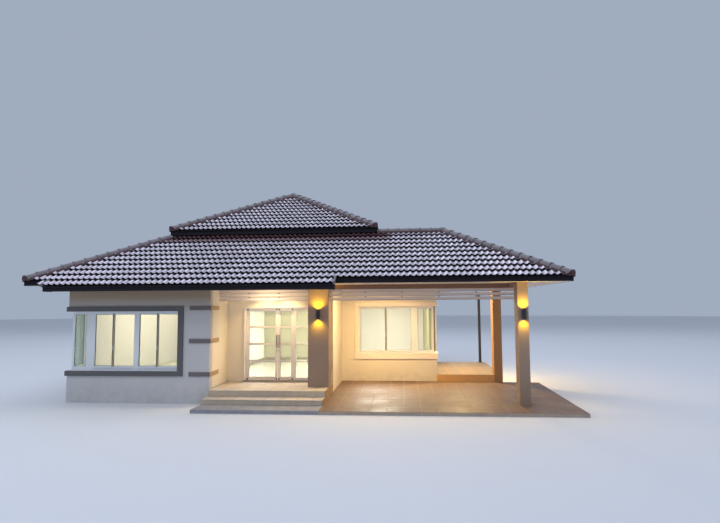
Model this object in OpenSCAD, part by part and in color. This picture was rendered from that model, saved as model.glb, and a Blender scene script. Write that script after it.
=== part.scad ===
// A single-storey bungalow with a two-tier hipped tile roof, a glazed entrance
// porch, an open carport and a side terrace. Sizes are in millimetres.
// X runs along the front, Y from the front to the rear, Z up from the ground.

/* [House] */
// Width of the house over its side walls
house_width = 10000; // [9400:50:10600]
// Width of the front room that stands forward on the left
wing_width = 3900; // [3700:50:4100]
// Clear width of the porch recess
porch_width = 3060; // [2900:20:3200]
// Depth of the porch recess, front of the wing to the door wall
porch_depth = 1450; // [1300:25:1600]
// Depth of the carport recess, front of the wing to the back wall
carport_depth = 3600; // [3300:50:3900]
// How far the wing stands ahead of the main roof's own line
wing_forward = 340; // [300:10:380]
// Thickness of every outer wall
wall_t = 200; // [180:10:240]
// Thickness of the partitions behind the entrance
partition_t = 100; // [80:10:120]
// How far the left hall partition stands left of the porch corner
hall_offset = 470; // [420:10:520]
// Depth of the hall behind the door wall
hall_depth = 6040; // [5600:20:6400]

/* [Levels] */
// Top of the floor inside
floor_z = 400; // [380:5:440]
// Top of the porch floor
porch_z = 355; // [330:5:370]
// Top of the entrance step
step_z = 205; // [190:5:220]
// Top of the apron below the step
apron_z = 80; // [60:5:100]
// Top of the carport floor at the house
carport_z = 120; // [110:5:140]
// How much lower the carport floor lies at its front edge
carport_fall = 44; // [20:4:60]
// Top of the terrace
terrace_z = 345; // [320:5:370]
// Underside of the ceiling and the soffits
ceiling_z = 3085; // [3000:10:3200]

/* [Floors outside] */
// How far the porch floor stands ahead of the wing front
porch_out = 80; // [60:5:100]
// Depth of the entrance step
step_d = 480; // [440:10:520]
// Depth of the apron and of the carport floor ahead of the step
apron_d = 690; // [600:10:760]
// Depth of the terrace behind the carport's back wall
terrace_d = 3613; // [3300:1:3900]

/* [Carport] */
// How far the outer columns stand past the side of the house
carport_reach = 2016; // [1900:8:2200]
// Overhang of the roof past the outer columns
carport_eave = 1044; // [960:4:1100]
// Width of a carport column seen from the front
post_w = 256; // [220:4:300]
// Depth of a carport column
post_d = 420; // [360:10:480]
// How far the front column stands ahead of the wing front
post_forward = 360; // [320:10:400]
// How far the rear column stands ahead of the carport's back wall
rear_post_forward = 160; // [120:10:200]
// Width of the porch column
column_w = 560; // [500:10:600]
// Depth of the porch column
column_d = 550; // [500:10:600]
// Distance from the wing front back to the porch column
column_back = 560; // [500:10:640]
// Side of the slim terrace post
slim_post = 90; // [70:5:100]
// Depth of the beams below the ceiling
beam_h = 120; // [100:5:160]
// Width of the cross beams
beam_w = 200; // [180:10:240]
// Height of one louvre slat
slat_h = 80; // [60:5:90]
// Thickness of one louvre slat
slat_t = 30; // [24:2:36]
// Distance from one slat to the next
slat_pitch = 110; // [105:5:130]

/* [Roof] */
// Eaves overhang from the wall to the fascia
eave = 900; // [800:20:1000]
// How far the tiles reach past the fascia
over = 40; // [30:5:60]
// Rise of the roof over one metre, in millimetres
rise = 515; // [480:5:560]
// Thickness of the tiled slopes, measured upright
roof_t = 60; // [50:5:90]
// Height of the roof's edge above the ceiling
edge_up = 170; // [160:5:190]
// Height of the main fascia
fascia_h = 128; // [110:2:140]
// Thickness of the fascia boards
board = 30; // [24:2:40]
// Depth of the extra tile course over the wing and porch
course = 340; // [300:10:360]
// Number of tile courses on a lower slope
courses = 10; // [9:1:11]
// How far the lower end of each course stands above the course below it
course_step = 28; // [24:2:32]
// How far the extra course hangs below the ceiling
course_drop = 165; // [150:5:180]
// How far the extra course reaches past the left wall of the house
course_left = 190; // [160:10:220]
// How far the extra course reaches past the porch
course_right = 360; // [300:10:420]
// Half the side of the upper roof at its eave
upper_half = 3225; // [3100:25:3300]
// How far the upper eave stands out past its curb
upper_eave = 225; // [200:5:260]
// Height of the step between the two roof tiers
tier_step = 250; // [230:10:300]
// Height of the upper fascia
upper_fascia_h = 150; // [130:5:170]
// Thickness of the curb walls below the upper tier
curb_t = 80; // [60:5:100]
// Half the width of the hip and ridge caps
cap_w = 110; // [95:5:130]
// Height of the caps above the slopes
cap_h = 75; // [60:5:90]
// Half the side of the cover on the top point
apex_half = 130; // [120:5:150]

/* [Windows] */
// Wall between the wing window and the porch corner
wing_pier = 860; // [800:20:920]
// Sill height of the wing window
wing_sill_z = 835; // [800:5:900]
// Head height of the wing window
wing_head_z = 2405; // [2350:5:2450]
// Wall between the carport's side wall and its window
carport_pier = 560; // [500:20:620]
// Sill height of the carport and the plain windows
plain_sill_z = 1010; // [960:10:1060]
// Head height of the carport and the plain windows
plain_head_z = 2490; // [2440:10:2540]
// Width of a plain window on the hidden sides
plain_w = 1500; // [1300:20:1600]
// Length of both window returns round their corners
return_len = 600; // [540:20:700]
// Width of the flat band round a window
band = 120; // [100:5:150]
// Width of the wing window's band above and below
wing_band = 130; // [110:5:150]
// Width of the wing window's band at its right side
wing_side_band = 145; // [120:5:170]
// Height of the carport window's sill band
sill_band = 190; // [170:5:220]
// How far the bands stand out from the wall
band_out = 40; // [30:5:60]
// Height of the bars on the corner between the wing and the porch
accent_h = 108; // [90:2:120]
// Length of the bars on the front
accent_front_len = 550; // [500:10:600]
// Length of the bars on the porch side
accent_side_len = 630; // [580:10:680]
// How far the bars stand out from the wall
accent_out = 30; // [20:5:40]
// Depth of a window frame
frame_d = 60; // [50:5:80]
// How far the frames stand back in the wall
glass_in = 80; // [60:5:100]
// Thickness of the glass
glass_t = 8; // [6:1:10]

/* [Entrance] */
// Left edge of the entrance opening, from the wing's porch side
door_offset = 500; // [460:10:560]
// Width of the entrance opening
door_w = 1930; // [1890:10:1970]
// Head of the entrance opening
door_head_z = 2490; // [2440:10:2540]
// How far the entrance frame stands back in the wall
door_in = 50; // [40:5:60]
// Depth of the entrance frame
door_frame_d = 100; // [90:5:110]
// Width of the jambs, the head and the post beside the sidelight
jamb = 30; // [28:1:36]
// Height of the threshold above the floor
threshold_h = 12; // [10:1:16]
// Thickness of the door leaves
leaf_t = 50; // [44:2:56]
// Width of the stiles of the leaves
stile = 56; // [50:2:64]
// Height of the rails at the top and bottom of the leaves
rail = 65; // [55:5:80]
// Height of the glazing bars
bar = 30; // [24:2:36]
// Gap between a hinged leaf and its frame
leaf_gap = 8; // [7:1:10]
// Gap between the two leaves
meet_gap = 14; // [12:1:16]
// Length of the pull handles
pull_len = 320; // [280:10:360]
// Height of the pull handles' lower ends
pull_z = 1350; // [1300:10:1400]

/* [Lamps] */
// Diameter of a wall lamp
lamp_d = 115; // [100:5:130]
// Height of a wall lamp
lamp_h = 250; // [220:5:280]
// Height of the lamps' lower ends
lamp_z = 2170; // [2120:10:2220]

/* [Hidden] */

k = rise / 1000;
slit = 0.3;

// plan lines of the walls and columns
porch_x = wing_width;
side_x = wing_width + porch_width;
house_d = house_width + wing_forward;
post_x1 = house_width + carport_reach;
post_x0 = post_x1 - post_w;

// plan lines of the roof
fascia_l = -eave;
fascia_r = house_width + eave;
fascia_f = wing_forward - eave;
fascia_b = house_d + eave;
edge_l = fascia_l - over;
edge_r = fascia_r + over;
edge_f = fascia_f - over;
edge_b = fascia_b + over;
roof_half = (edge_r - edge_l) / 2;
curb_half = upper_half - upper_eave;
mid_x = (edge_l + edge_r) / 2;
mid_y = (edge_f + edge_b) / 2;
port_fascia_r = post_x1 + carport_eave;
port_r = port_fascia_r + over;
port_half = roof_half - curb_half;
port_b = edge_f + 2 * port_half;
port_fascia_b = port_b - over;

// roof heights
edge_z = ceiling_z + edge_up;
fascia_top = ceiling_z + fascia_h;
curb_z = edge_z + k * port_half;
upper_z = edge_z + k * (roof_half - upper_half) + tier_step;
apex_z = upper_z + k * upper_half;

// extra course over the wing and porch
ext_l = -course_left;
ext_r = side_x + course_right;
ext_f = edge_f - course;
ext_fascia_f = ext_f + over;
ext_z0 = ceiling_z - course_drop;

// boards and caps
soffit_t = 20;
cap_rim = 30;
cap_start = 80;
cap_end = 90;
cap_gap = 10;
apex_rim = 40;
apex_up = 110;

// courses of tiles: one course on plan, and the flat bed at the top of each slope
gauge = port_half / courses;
bed_w = 120;
bed_past = 50;
top_bed_w = apex_half + bed_past;
tip = 2;

// outline of the main eave, drawn in by d
function eave_outline(d) = [[fascia_l + d, fascia_f + d], [port_fascia_r - d, fascia_f + d],
    [port_fascia_r - d, port_fascia_b - d], [fascia_r - d, port_fascia_b - d],
    [fascia_r - d, fascia_b - d], [fascia_l + d, fascia_b - d]];

// steps and floors
porch_front = -porch_out;
step_front = porch_front - step_d;
floor_front = step_front - apron_d;
terrace_f = carport_depth - rear_post_forward;
terrace_b = carport_depth + terrace_d;

// wing window: a corner light, a post and two sliding pairs
wing_window_w = wing_width - wing_pier;
glass_x0 = glass_in + frame_d;
corner_light = 325;
corner_post = 245;
mid_post = 140;
meeting_stile = 44;
meet_left = 40;
end_stile = 20;
wing_pair_x = glass_x0 + corner_light + corner_post;
wing_pair = (wing_window_w - end_stile - wing_pair_x - mid_post) / 2;
wing_lights = concat([[glass_x0, glass_x0 + corner_light]],
    pair_lights(wing_pair_x, wing_pair, meet_left),
    pair_lights(wing_pair_x + wing_pair + mid_post, wing_pair, meet_left));
wing_low_rail = 120;
wing_top_rail = 80;
wing_glass_z0 = wing_sill_z + wing_low_rail;
wing_glass_z1 = wing_head_z - wing_top_rail;

// carport window: a sliding pair, a post and a corner light
cw_x0 = side_x + carport_pier;
cw_jamb = 55;
cw_corner_light = 445;
cw_post = 215;
cw_light_x1 = house_width - glass_x0;
carport_lights = concat(pair_lights(cw_x0 + cw_jamb,
    cw_light_x1 - cw_corner_light - cw_post - cw_x0 - cw_jamb, 0),
    [[cw_light_x1 - cw_corner_light, cw_light_x1]]);
cw_low_rail = 80;
cw_top_rail = 70;
cw_glass_z0 = plain_sill_z + cw_low_rail;
cw_glass_z1 = plain_head_z - cw_top_rail;

// the two lights of a sliding pair that starts at x and is w wide, whose stile stands left of
// its middle
function pair_lights(x, w, left) = let (m = x + w / 2 - left)
    [[x, m - meeting_stile / 2], [m + meeting_stile / 2, x + w]];

// plain windows on the hidden sides, by the middles of their openings
plain_left_y = [0.735 * house_d];
plain_right_y = [0.677 * house_d];
plain_rear_x = [0.2 * house_width, 0.55 * house_width];
plain_rail = 60;
plain_stile = 40;
plain_meet = 70;
plain_lights = [[plain_stile - plain_w / 2, -plain_meet / 2],
    [plain_meet / 2, plain_w / 2 - plain_stile]];

// hall behind the entrance
hall_x = porch_x - hall_offset;
hall_y = porch_depth + hall_depth;

// entrance: a wide leaf, a leaf half as wide and a fixed sidelight
door_x0 = porch_x + door_offset;
door_x1 = door_x0 + door_w;
frame_y0 = porch_depth + door_in;
frame_y1 = frame_y0 + door_frame_d;
leaf_y1 = frame_y1;
leaf_y0 = leaf_y1 - leaf_t;
knuckle_r = 10;
knuckle_h = 30;
plate_t = 4;
pin_y = frame_y1 + knuckle_r;
pin_r = 6;
pin_slack = 0.05;
unit = (door_w - 3 * jamb) / 4;
leaf_x0 = door_x0 + jamb;
meet_x = leaf_x0 + 2 * unit;
leaf_x1 = meet_x + unit;
light_x0 = leaf_x1 + jamb;
light_x1 = door_x1 - jamb;
light_stile = 40;
sill_top = floor_z + threshold_h;
leaf_z0 = sill_top + leaf_gap;
leaf_z1 = door_head_z - jamb - leaf_gap;
ear = 35;
pull_d = 28;
pull_out = 50;
pull_stem = 16;
pull_end = 50;
hinge_in = 250;
frame_plate = 26;
leaf_plate = 40;

// louvres below the beam across the porch and the carport
louvre_in = 140;
louvre_y = column_back + louvre_in;
slat_top = ceiling_z - beam_h;
hanger_w = 40;
hanger_t = 20;
beam_lift = 5;
lamp_gap = 20;
bracket_w = 50;
bracket_in = 75;
post_in = 140;
post_drop = 85;

// height of the front slope's plane at a place on plan
function plane_f(p) = edge_z + k * (p[1] - edge_f);

// one end of course i: e is 0 at its nose, which stands on the slope's plane, and 1 at its head
function course_point(i, e, end) = let (r = min((i + e) * gauge, end))
    [r, k * r - e * course_step * (r - i * gauge) / gauge];

// top of a tiled slope as run and height above its edge, with a flat bed at its upper end
function tiled_top(run, bed) = let (end = run - bed)
    concat([for (i = [0 : ceil(end / gauge) - 1], e = [0, 1]) course_point(i, e, end)],
        [[end, k * end], [run, k * run]]);

// box between two corners
module bx(x0, x1, y0, y1, z0, z1) {
    translate([x0, y0, z0])
        cube([x1 - x0, y1 - y0, z1 - z0]);
}

// flat plate with the given plan
module plate(plan, z0, z1) {
    translate([0, 0, z0])
        linear_extrude(height = z1 - z0)
            polygon(plan);
}

// slope laid in courses: its eave runs from a to b, u points up the slope on plan, and its
// ends run in by sa and sb for each mm of run
module course_slope(a, b, u, sa, sb, run) {
    t = (b - a) / norm(b - a);
    top = tiled_top(run, bed_w);
    n = len(top) / 2;
    // points of one end: the top outline, then the underside below each of its steps
    prof = concat(top, [for (i = [0 : n]) let (r = top[min(2 * i, 2 * n - 1)][0])
        [r, k * r - roof_t]]);
    m = len(prof);
    // triangles that close one end, each no wider than a course
    end = concat([[2 * n, 0, 1], [2 * n, 1, 2 * n + 1]],
        [for (i = [1 : n - 1], f = [[2 * n + i, 2 * i - 1, 2 * n + i + 1],
            [2 * i - 1, 2 * i, 2 * i + 1], [2 * i - 1, 2 * i + 1, 2 * n + i + 1]]) f]);
    // edges of the outline, each of which runs from one end to the other as a face
    runs = concat([for (j = [0 : 2 * n - 2]) [j, j + 1]],
        [for (i = [0 : n - 1]) [2 * n + i + 1, 2 * n + i]],
        [[2 * n, 0], [2 * n - 1, 3 * n]]);
    polyhedron(
        points = concat(
            [for (q = prof) concat(a + (u + sa * t) * q[0], [edge_z + q[1]])],
            [for (q = prof) concat(b + (u - sb * t) * q[0], [edge_z + q[1]])]),
        faces = concat(
            [for (f = end) [f[2], f[1], f[0]]],
            [for (f = end) [f[0] + m, f[1] + m, f[2] + m]],
            [for (e = runs) [e[0], e[1], e[1] + m, e[0] + m]]));
}

// cap strip along a hip or ridge from a to b, each given as x, y, z
module cap(a, b, w, fall) {
    d = [b[0] - a[0], b[1] - a[1]];
    l = sqrt(d[0] * d[0] + d[1] * d[1]);
    m = [-d[1] / l * w, d[0] / l * w];
    low = -fall * w + slit;
    prof = [[1, low], [0, slit], [-1, low], [-1, low + cap_rim], [0, slit + cap_h],
        [1, low + cap_rim]];
    polyhedron(
        points = concat(
            [for (q = prof) [a[0] + q[0] * m[0], a[1] + q[0] * m[1], a[2] + q[1]]],
            [for (q = prof) [b[0] + q[0] * m[0], b[1] + q[0] * m[1], b[2] + q[1]]]),
        faces = [[5, 4, 1, 0], [4, 3, 2, 1], [6, 7, 10, 11], [7, 8, 9, 10],
            [0, 1, 7, 6], [1, 2, 8, 7], [2, 3, 9, 8], [3, 4, 10, 9],
            [4, 5, 11, 10], [5, 0, 6, 11]]);
}

module house_floor_slab() {
    color("lightgrey")
        plate([[0, 0], [porch_x, 0], [porch_x, porch_depth], [side_x, porch_depth],
            [side_x, carport_depth], [house_width, carport_depth],
            [house_width, house_d], [0, house_d]], 0, floor_z);
}

module entrance_steps() {
    color("tan")
        translate([porch_x, 0, 0])
            rotate([90, 0, 90])
                linear_extrude(height = porch_width)
                    polygon([[floor_front, 0], [porch_depth, 0], [porch_depth, porch_z],
                        [porch_front, porch_z], [porch_front, step_z],
                        [step_front, step_z], [step_front, apron_z],
                        [floor_front, apron_z]]);
}

module carport_slab() {
    color("tan")
        difference() {
            translate([side_x, 0, 0])
                rotate([90, 0, 90])
                    linear_extrude(height = port_r - side_x)
                        polygon([[floor_front, 0], [carport_depth, 0],
                            [carport_depth, carport_z],
                            [floor_front, carport_z - carport_fall]]);
            bx(house_width, port_r + 1, terrace_f, carport_depth + 1, -1, carport_z + 1);
            bx(post_x0, post_x1, -post_forward, post_d - post_forward, -1, carport_z + 1);
        }
}

module terrace_slab() {
    color("tan")
        difference() {
            bx(house_width, post_x1, terrace_f, terrace_b, 0, terrace_z);
            bx(post_x0, post_x1 + 1, terrace_f - 1, terrace_f + post_d, -1, terrace_z + 1);
        }
}

module wing_front_wall() {
    color("lightgrey")
        difference() {
            bx(0, wing_width, 0, wall_t, floor_z, ceiling_z);
            bx(-1, wing_window_w, -1, wall_t + 1, wing_sill_z, wing_head_z);
        }
}

module left_side_wall() {
    color("lightgrey")
        difference() {
            bx(0, wall_t, wall_t, house_d, floor_z, ceiling_z);
            bx(-1, wall_t + 1, wall_t - 1, return_len, wing_sill_z, wing_head_z);
            for (y = plain_left_y)
                bx(-1, wall_t + 1, y - plain_w / 2, y + plain_w / 2, plain_sill_z, plain_head_z);
        }
}

module porch_side_wall() {
    color("lightgrey")
        plate([[porch_x - wall_t, wall_t], [porch_x, wall_t], [porch_x, porch_depth],
            [door_x0, porch_depth], [door_x0, porch_depth + wall_t],
            [porch_x - wall_t, porch_depth + wall_t]], floor_z, ceiling_z);
}

module door_lintel_wall() {
    color("lightgrey")
        bx(door_x0, door_x1, porch_depth, porch_depth + wall_t, door_head_z, ceiling_z);
}

module carport_side_wall() {
    color("lightgrey")
        plate([[door_x1, porch_depth], [side_x, porch_depth], [side_x, carport_depth],
            [side_x, carport_depth + wall_t], [side_x - wall_t, carport_depth + wall_t],
            [side_x - wall_t, porch_depth + wall_t], [door_x1, porch_depth + wall_t]],
            floor_z, ceiling_z);
}

module carport_back_wall() {
    color("lightgrey")
        difference() {
            bx(side_x, house_width, carport_depth, carport_depth + wall_t, floor_z, ceiling_z);
            bx(cw_x0, house_width + 1, carport_depth - 1, carport_depth + wall_t + 1,
                plain_sill_z, plain_head_z);
        }
}

module right_side_wall() {
    color("lightgrey")
        difference() {
            bx(house_width - wall_t, house_width, carport_depth + wall_t, house_d,
                floor_z, ceiling_z);
            bx(house_width - wall_t - 1, house_width + 1, carport_depth + wall_t - 1,
                carport_depth + return_len, plain_sill_z, plain_head_z);
            for (y = plain_right_y)
                bx(house_width - wall_t - 1, house_width + 1, y - plain_w / 2,
                    y + plain_w / 2, plain_sill_z, plain_head_z);
        }
}

module rear_wall() {
    color("lightgrey")
        difference() {
            bx(wall_t, house_width - wall_t, house_d - wall_t, house_d, floor_z, ceiling_z);
            for (x = plain_rear_x)
                bx(x - plain_w / 2, x + plain_w / 2, house_d - wall_t - 1, house_d + 1,
                    plain_sill_z, plain_head_z);
        }
}

module hall_partitions() {
    color("wheat")
        plate([[hall_x - partition_t, porch_depth + wall_t - partition_t],
            [porch_x - wall_t, porch_depth + wall_t - partition_t],
            [porch_x - wall_t, porch_depth + wall_t], [hall_x, porch_depth + wall_t],
            [hall_x, hall_y], [side_x - wall_t, hall_y],
            [side_x - wall_t, hall_y + partition_t],
            [hall_x - partition_t, hall_y + partition_t]], floor_z, ceiling_z);
}

// flat band round an opening on a wall that faces -Y
module band_ring(x0, x1, z0, z1, y0, y1) {
    difference() {
        bx(x0 - band, x1 + band, y0, y1, z0 - band, z1 + band);
        bx(x0, x1, y0 - 1, y1 + 1, z0, z1);
    }
}

module window_surrounds() {
    color("grey") {
        // wing window, wrapped round the left corner
        difference() {
            plate([[-band_out, -band_out], [wing_window_w + wing_side_band, -band_out],
                [wing_window_w + wing_side_band, 0], [0, 0],
                [0, return_len + wing_side_band], [-band_out, return_len + wing_side_band]],
                wing_sill_z - wing_band, wing_head_z + wing_band);
            bx(-band_out - 1, wing_window_w, -band_out - 1, 1, wing_sill_z, wing_head_z);
            bx(-band_out - 1, 1, -1, return_len, wing_sill_z, wing_head_z);
        }
        // carport window, wrapped round the right corner
        difference() {
            plate([[cw_x0 - band, carport_depth - band_out],
                [house_width + band_out, carport_depth - band_out],
                [house_width + band_out, carport_depth + return_len + band],
                [house_width, carport_depth + return_len + band],
                [house_width, carport_depth], [cw_x0 - band, carport_depth]],
                plain_sill_z - sill_band, plain_head_z + band);
            bx(cw_x0, house_width + band_out + 1, carport_depth - band_out - 1,
                carport_depth + 1, plain_sill_z, plain_head_z);
            bx(house_width - 1, house_width + band_out + 1, carport_depth - 1,
                carport_depth + return_len, plain_sill_z, plain_head_z);
        }
        for (x = plain_rear_x)
            band_ring(x - plain_w / 2, x + plain_w / 2, plain_sill_z, plain_head_z,
                house_d, house_d + band_out);
        for (y = plain_left_y)
            rotate([0, 0, -90])
                band_ring(-y - plain_w / 2, -y + plain_w / 2, plain_sill_z, plain_head_z,
                    -band_out, 0);
        for (y = plain_right_y)
            rotate([0, 0, -90])
                band_ring(-y - plain_w / 2, -y + plain_w / 2, plain_sill_z, plain_head_z,
                    house_width, house_width + band_out);
    }
}

module accent_bars() {
    low = wing_sill_z - wing_band;
    high = wing_head_z + wing_band - accent_h;
    color("grey")
        for (z = [low, (low + high) / 2, high])
            plate([[porch_x - accent_front_len, -accent_out], [porch_x + accent_out, -accent_out],
                [porch_x + accent_out, accent_side_len], [porch_x, accent_side_len],
                [porch_x, 0], [porch_x - accent_front_len, 0]], z, z + accent_h);
}

module wing_window() {
    color("white") {
        // front run with its mullions, then the return round the corner
        difference() {
            plate([[glass_in, glass_in], [wing_window_w, glass_in],
                [wing_window_w, glass_x0], [glass_x0, glass_x0],
                [glass_x0, return_len], [glass_in, return_len]],
                wing_sill_z, wing_head_z);
            for (s = wing_lights)
                bx(s[0], s[1], glass_in - 1, glass_in + frame_d + 1, wing_glass_z0, wing_glass_z1);
            bx(glass_in - 1, glass_x0 + 1, glass_x0, return_len - frame_d,
                wing_glass_z0, wing_glass_z1);
        }
    }
}

module carport_window() {
    color("white")
        difference() {
            plate([[cw_x0, carport_depth + glass_in],
                [house_width - glass_in, carport_depth + glass_in],
                [house_width - glass_in, carport_depth + return_len],
                [house_width - glass_x0, carport_depth + return_len],
                [house_width - glass_x0, carport_depth + glass_x0],
                [cw_x0, carport_depth + glass_x0]], plain_sill_z, plain_head_z);
            for (s = carport_lights)
                bx(s[0], s[1], carport_depth + glass_in - 1, carport_depth + glass_in + frame_d + 1,
                    cw_glass_z0, cw_glass_z1);
            bx(house_width - glass_x0 - 1, house_width - glass_in + 1,
                carport_depth + glass_x0, carport_depth + return_len - frame_d,
                cw_glass_z0, cw_glass_z1);
        }
}

// plain two-light window seen from outside, frame only, facing -Y
module plain_frame() {
    difference() {
        bx(-plain_w / 2, plain_w / 2, 0, frame_d, plain_sill_z, plain_head_z);
        for (s = plain_lights)
            bx(s[0], s[1], -1, frame_d + 1, plain_sill_z + plain_rail, plain_head_z - plain_rail);
    }
}

module plain_windows() {
    color("white") {
        for (y = plain_left_y)
            translate([glass_in, y, 0])
                rotate([0, 0, -90])
                    plain_frame();
        for (y = plain_right_y)
            translate([house_width - glass_in, y, 0])
                rotate([0, 0, 90])
                    plain_frame();
        for (x = plain_rear_x)
            translate([x, house_d - glass_in, 0])
                rotate([0, 0, 180])
                    plain_frame();
    }
}

// a sheet of glass filling a light, facing -Y, in the middle of its frame
module pane(x0, x1, y, z0, z1) {
    bx(x0, x1, y + (frame_d - glass_t) / 2, y + (frame_d + glass_t) / 2, z0, z1);
}

module plain_glass() {
    for (s = plain_lights)
        pane(s[0], s[1], 0, plain_sill_z + plain_rail, plain_head_z - plain_rail);
}

module window_glass() {
    color("lightcyan", 0.4) {
        for (s = wing_lights)
            pane(s[0], s[1], glass_in, wing_glass_z0, wing_glass_z1);
        bx(glass_in + (frame_d - glass_t) / 2, glass_in + (frame_d + glass_t) / 2, glass_x0,
            return_len - frame_d, wing_glass_z0, wing_glass_z1);
        for (s = carport_lights)
            pane(s[0], s[1], carport_depth + glass_in, cw_glass_z0, cw_glass_z1);
        bx(house_width - glass_in - (frame_d + glass_t) / 2,
            house_width - glass_in - (frame_d - glass_t) / 2,
            carport_depth + glass_x0, carport_depth + return_len - frame_d,
            cw_glass_z0, cw_glass_z1);
        for (y = plain_left_y)
            translate([glass_in, y, 0])
                rotate([0, 0, -90])
                    plain_glass();
        for (y = plain_right_y)
            translate([house_width - glass_in, y, 0])
                rotate([0, 0, 90])
                    plain_glass();
        for (x = plain_rear_x)
            translate([x, house_d - glass_in, 0])
                rotate([0, 0, 180])
                    plain_glass();
        for (i = [0 : 3])
            bx(light_x0 + light_stile, light_x1 - light_stile,
                frame_y0 + (door_frame_d - glass_t) / 2, frame_y0 + (door_frame_d + glass_t) / 2,
                lite_z(i) + bar / 2, lite_z(i + 1) - bar / 2);
    }
}

hinge_z = [leaf_z0 + hinge_in, (leaf_z0 + leaf_z1) / 2, leaf_z1 - hinge_in];
pin_x0 = leaf_x0 + leaf_gap / 2;
pin_x1 = leaf_x1 - leaf_gap / 2;

// frame half of the hinges on a pin line, with plates towards s
module frame_hinges(x, s) {
    for (z = hinge_z) {
        for (dz = [-1.5 * knuckle_h - 1, 0.5 * knuckle_h + 1]) {
            translate([x, pin_y, z + dz])
                cylinder(r = knuckle_r, h = knuckle_h, $fn = 32);
            bx(min(x, x + s * frame_plate), max(x, x + s * frame_plate), frame_y1, frame_y1 + plate_t,
                z + dz, z + dz + knuckle_h);
        }
        translate([x, pin_y, z - 1.5 * knuckle_h - 1])
            cylinder(r = pin_r, h = 3 * knuckle_h + 2, $fn = 32);
    }
}

// leaf half of the hinges, bored for the pin
module leaf_hinges(x, s) {
    for (z = hinge_z)
        difference() {
            union() {
                translate([x, pin_y, z - knuckle_h / 2])
                    cylinder(r = knuckle_r, h = knuckle_h, $fn = 32);
                bx(min(x, x + s * leaf_plate), max(x, x + s * leaf_plate), frame_y1, frame_y1 + plate_t,
                    z - knuckle_h / 2, z + knuckle_h / 2);
            }
            translate([x, pin_y, z - knuckle_h])
                cylinder(r = pin_r + pin_slack, h = 2 * knuckle_h, $fn = 32);
        }
}

// heights of the glazing bars: 0 is the bottom rail and 4 the top rail
function lite_z(i) = leaf_z0 + rail - bar / 2 + i * (leaf_z1 - leaf_z0 - 2 * rail + bar) / 4;

module entrance_frame() {
    color("white") {
        difference() {
            bx(door_x0, door_x1, frame_y0, frame_y1, sill_top, door_head_z);
            bx(leaf_x0, leaf_x1, frame_y0 - 1, frame_y1 + 1, sill_top - 1, door_head_z - jamb);
            for (i = [0 : 3])
                bx(light_x0 + light_stile, light_x1 - light_stile, frame_y0 - 1, frame_y1 + 1,
                    lite_z(i) + bar / 2, lite_z(i + 1) - bar / 2);
        }
        frame_hinges(pin_x0, -1);
        frame_hinges(pin_x1, 1);
    }
}

module entrance_threshold() {
    color("dimgrey")
        plate([[door_x0 - ear, porch_depth - ear], [door_x1 + ear, porch_depth - ear],
            [door_x1 + ear, porch_depth], [door_x1, porch_depth],
            [door_x1, porch_depth + wall_t], [door_x0, porch_depth + wall_t],
            [door_x0, porch_depth], [door_x0 - ear, porch_depth]], floor_z, sill_top);
}

// one leaf frame with its three glazing bars
module leaf_frame(x0, x1) {
    difference() {
        bx(x0, x1, leaf_y0, leaf_y1, leaf_z0, leaf_z1);
        for (i = [0 : 3])
            bx(x0 + stile, x1 - stile, leaf_y0 - 1, leaf_y1 + 1,
                lite_z(i) + bar / 2, lite_z(i + 1) - bar / 2);
    }
}

// four panes of a leaf
module leaf_panes(x0, x1) {
    for (i = [0 : 3])
        bx(x0 + stile, x1 - stile, leaf_y0 + (leaf_t - glass_t) / 2,
            leaf_y0 + (leaf_t + glass_t) / 2,
            lite_z(i) + bar / 2, lite_z(i + 1) - bar / 2);
}

// upright pull handle outside a leaf
module pull(x) {
    translate([x, leaf_y0 - pull_out, pull_z])
        cylinder(d = pull_d, h = pull_len, $fn = 32);
    for (z = [pull_end, pull_len - pull_end])
        translate([x, leaf_y0 + 1, pull_z + z])
            rotate([90, 0, 0])
                cylinder(d = pull_stem, h = pull_out + 1, $fn = 24);
}

module main_leaf() {
    color("white") {
        leaf_frame(leaf_x0 + leaf_gap, meet_x - meet_gap / 2);
        leaf_hinges(pin_x0, 1);
        pull(meet_x - meet_gap / 2 - stile / 2);
    }
}

module main_leaf_glass() {
    color("lightcyan", 0.4)
        leaf_panes(leaf_x0 + leaf_gap, meet_x - meet_gap / 2);
}

module side_leaf() {
    color("white") {
        leaf_frame(meet_x + meet_gap / 2, leaf_x1 - leaf_gap);
        leaf_hinges(pin_x1, -1);
        pull(meet_x + meet_gap / 2 + stile / 2);
    }
}

module side_leaf_glass() {
    color("lightcyan", 0.4)
        leaf_panes(meet_x + meet_gap / 2, leaf_x1 - leaf_gap);
}

module porch_column() {
    color("tan")
        bx(side_x - column_w, side_x, column_back, column_back + column_d, porch_z, ceiling_z);
}

module carport_columns() {
    color("tan") {
        bx(post_x0, post_x1, -post_forward, post_d - post_forward, 0, ceiling_z - beam_h);
        bx(post_x0, post_x1, terrace_f, terrace_f + post_d, 0, ceiling_z - beam_h);
    }
}

module terrace_post() {
    color("black")
        bx(post_x1 - slim_post - post_in, post_x1 - post_in, terrace_b - slim_post, terrace_b,
            terrace_z, ceiling_z - post_drop);
}

module roof_beams() {
    color("wheat") {
        bx(post_x0, post_x1, -post_forward, terrace_f + post_d, ceiling_z - beam_h, ceiling_z);
        bx(side_x, post_x0, louvre_y - beam_w / 2, louvre_y + beam_w / 2,
            slat_top + beam_lift, ceiling_z);
        bx(house_width, post_x0, carport_depth, carport_depth + beam_w,
            slat_top + beam_lift, ceiling_z);
        bx(porch_x, side_x - column_w, louvre_y - beam_w / 2, louvre_y + beam_w / 2,
            slat_top + beam_lift, ceiling_z);
    }
}

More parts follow.
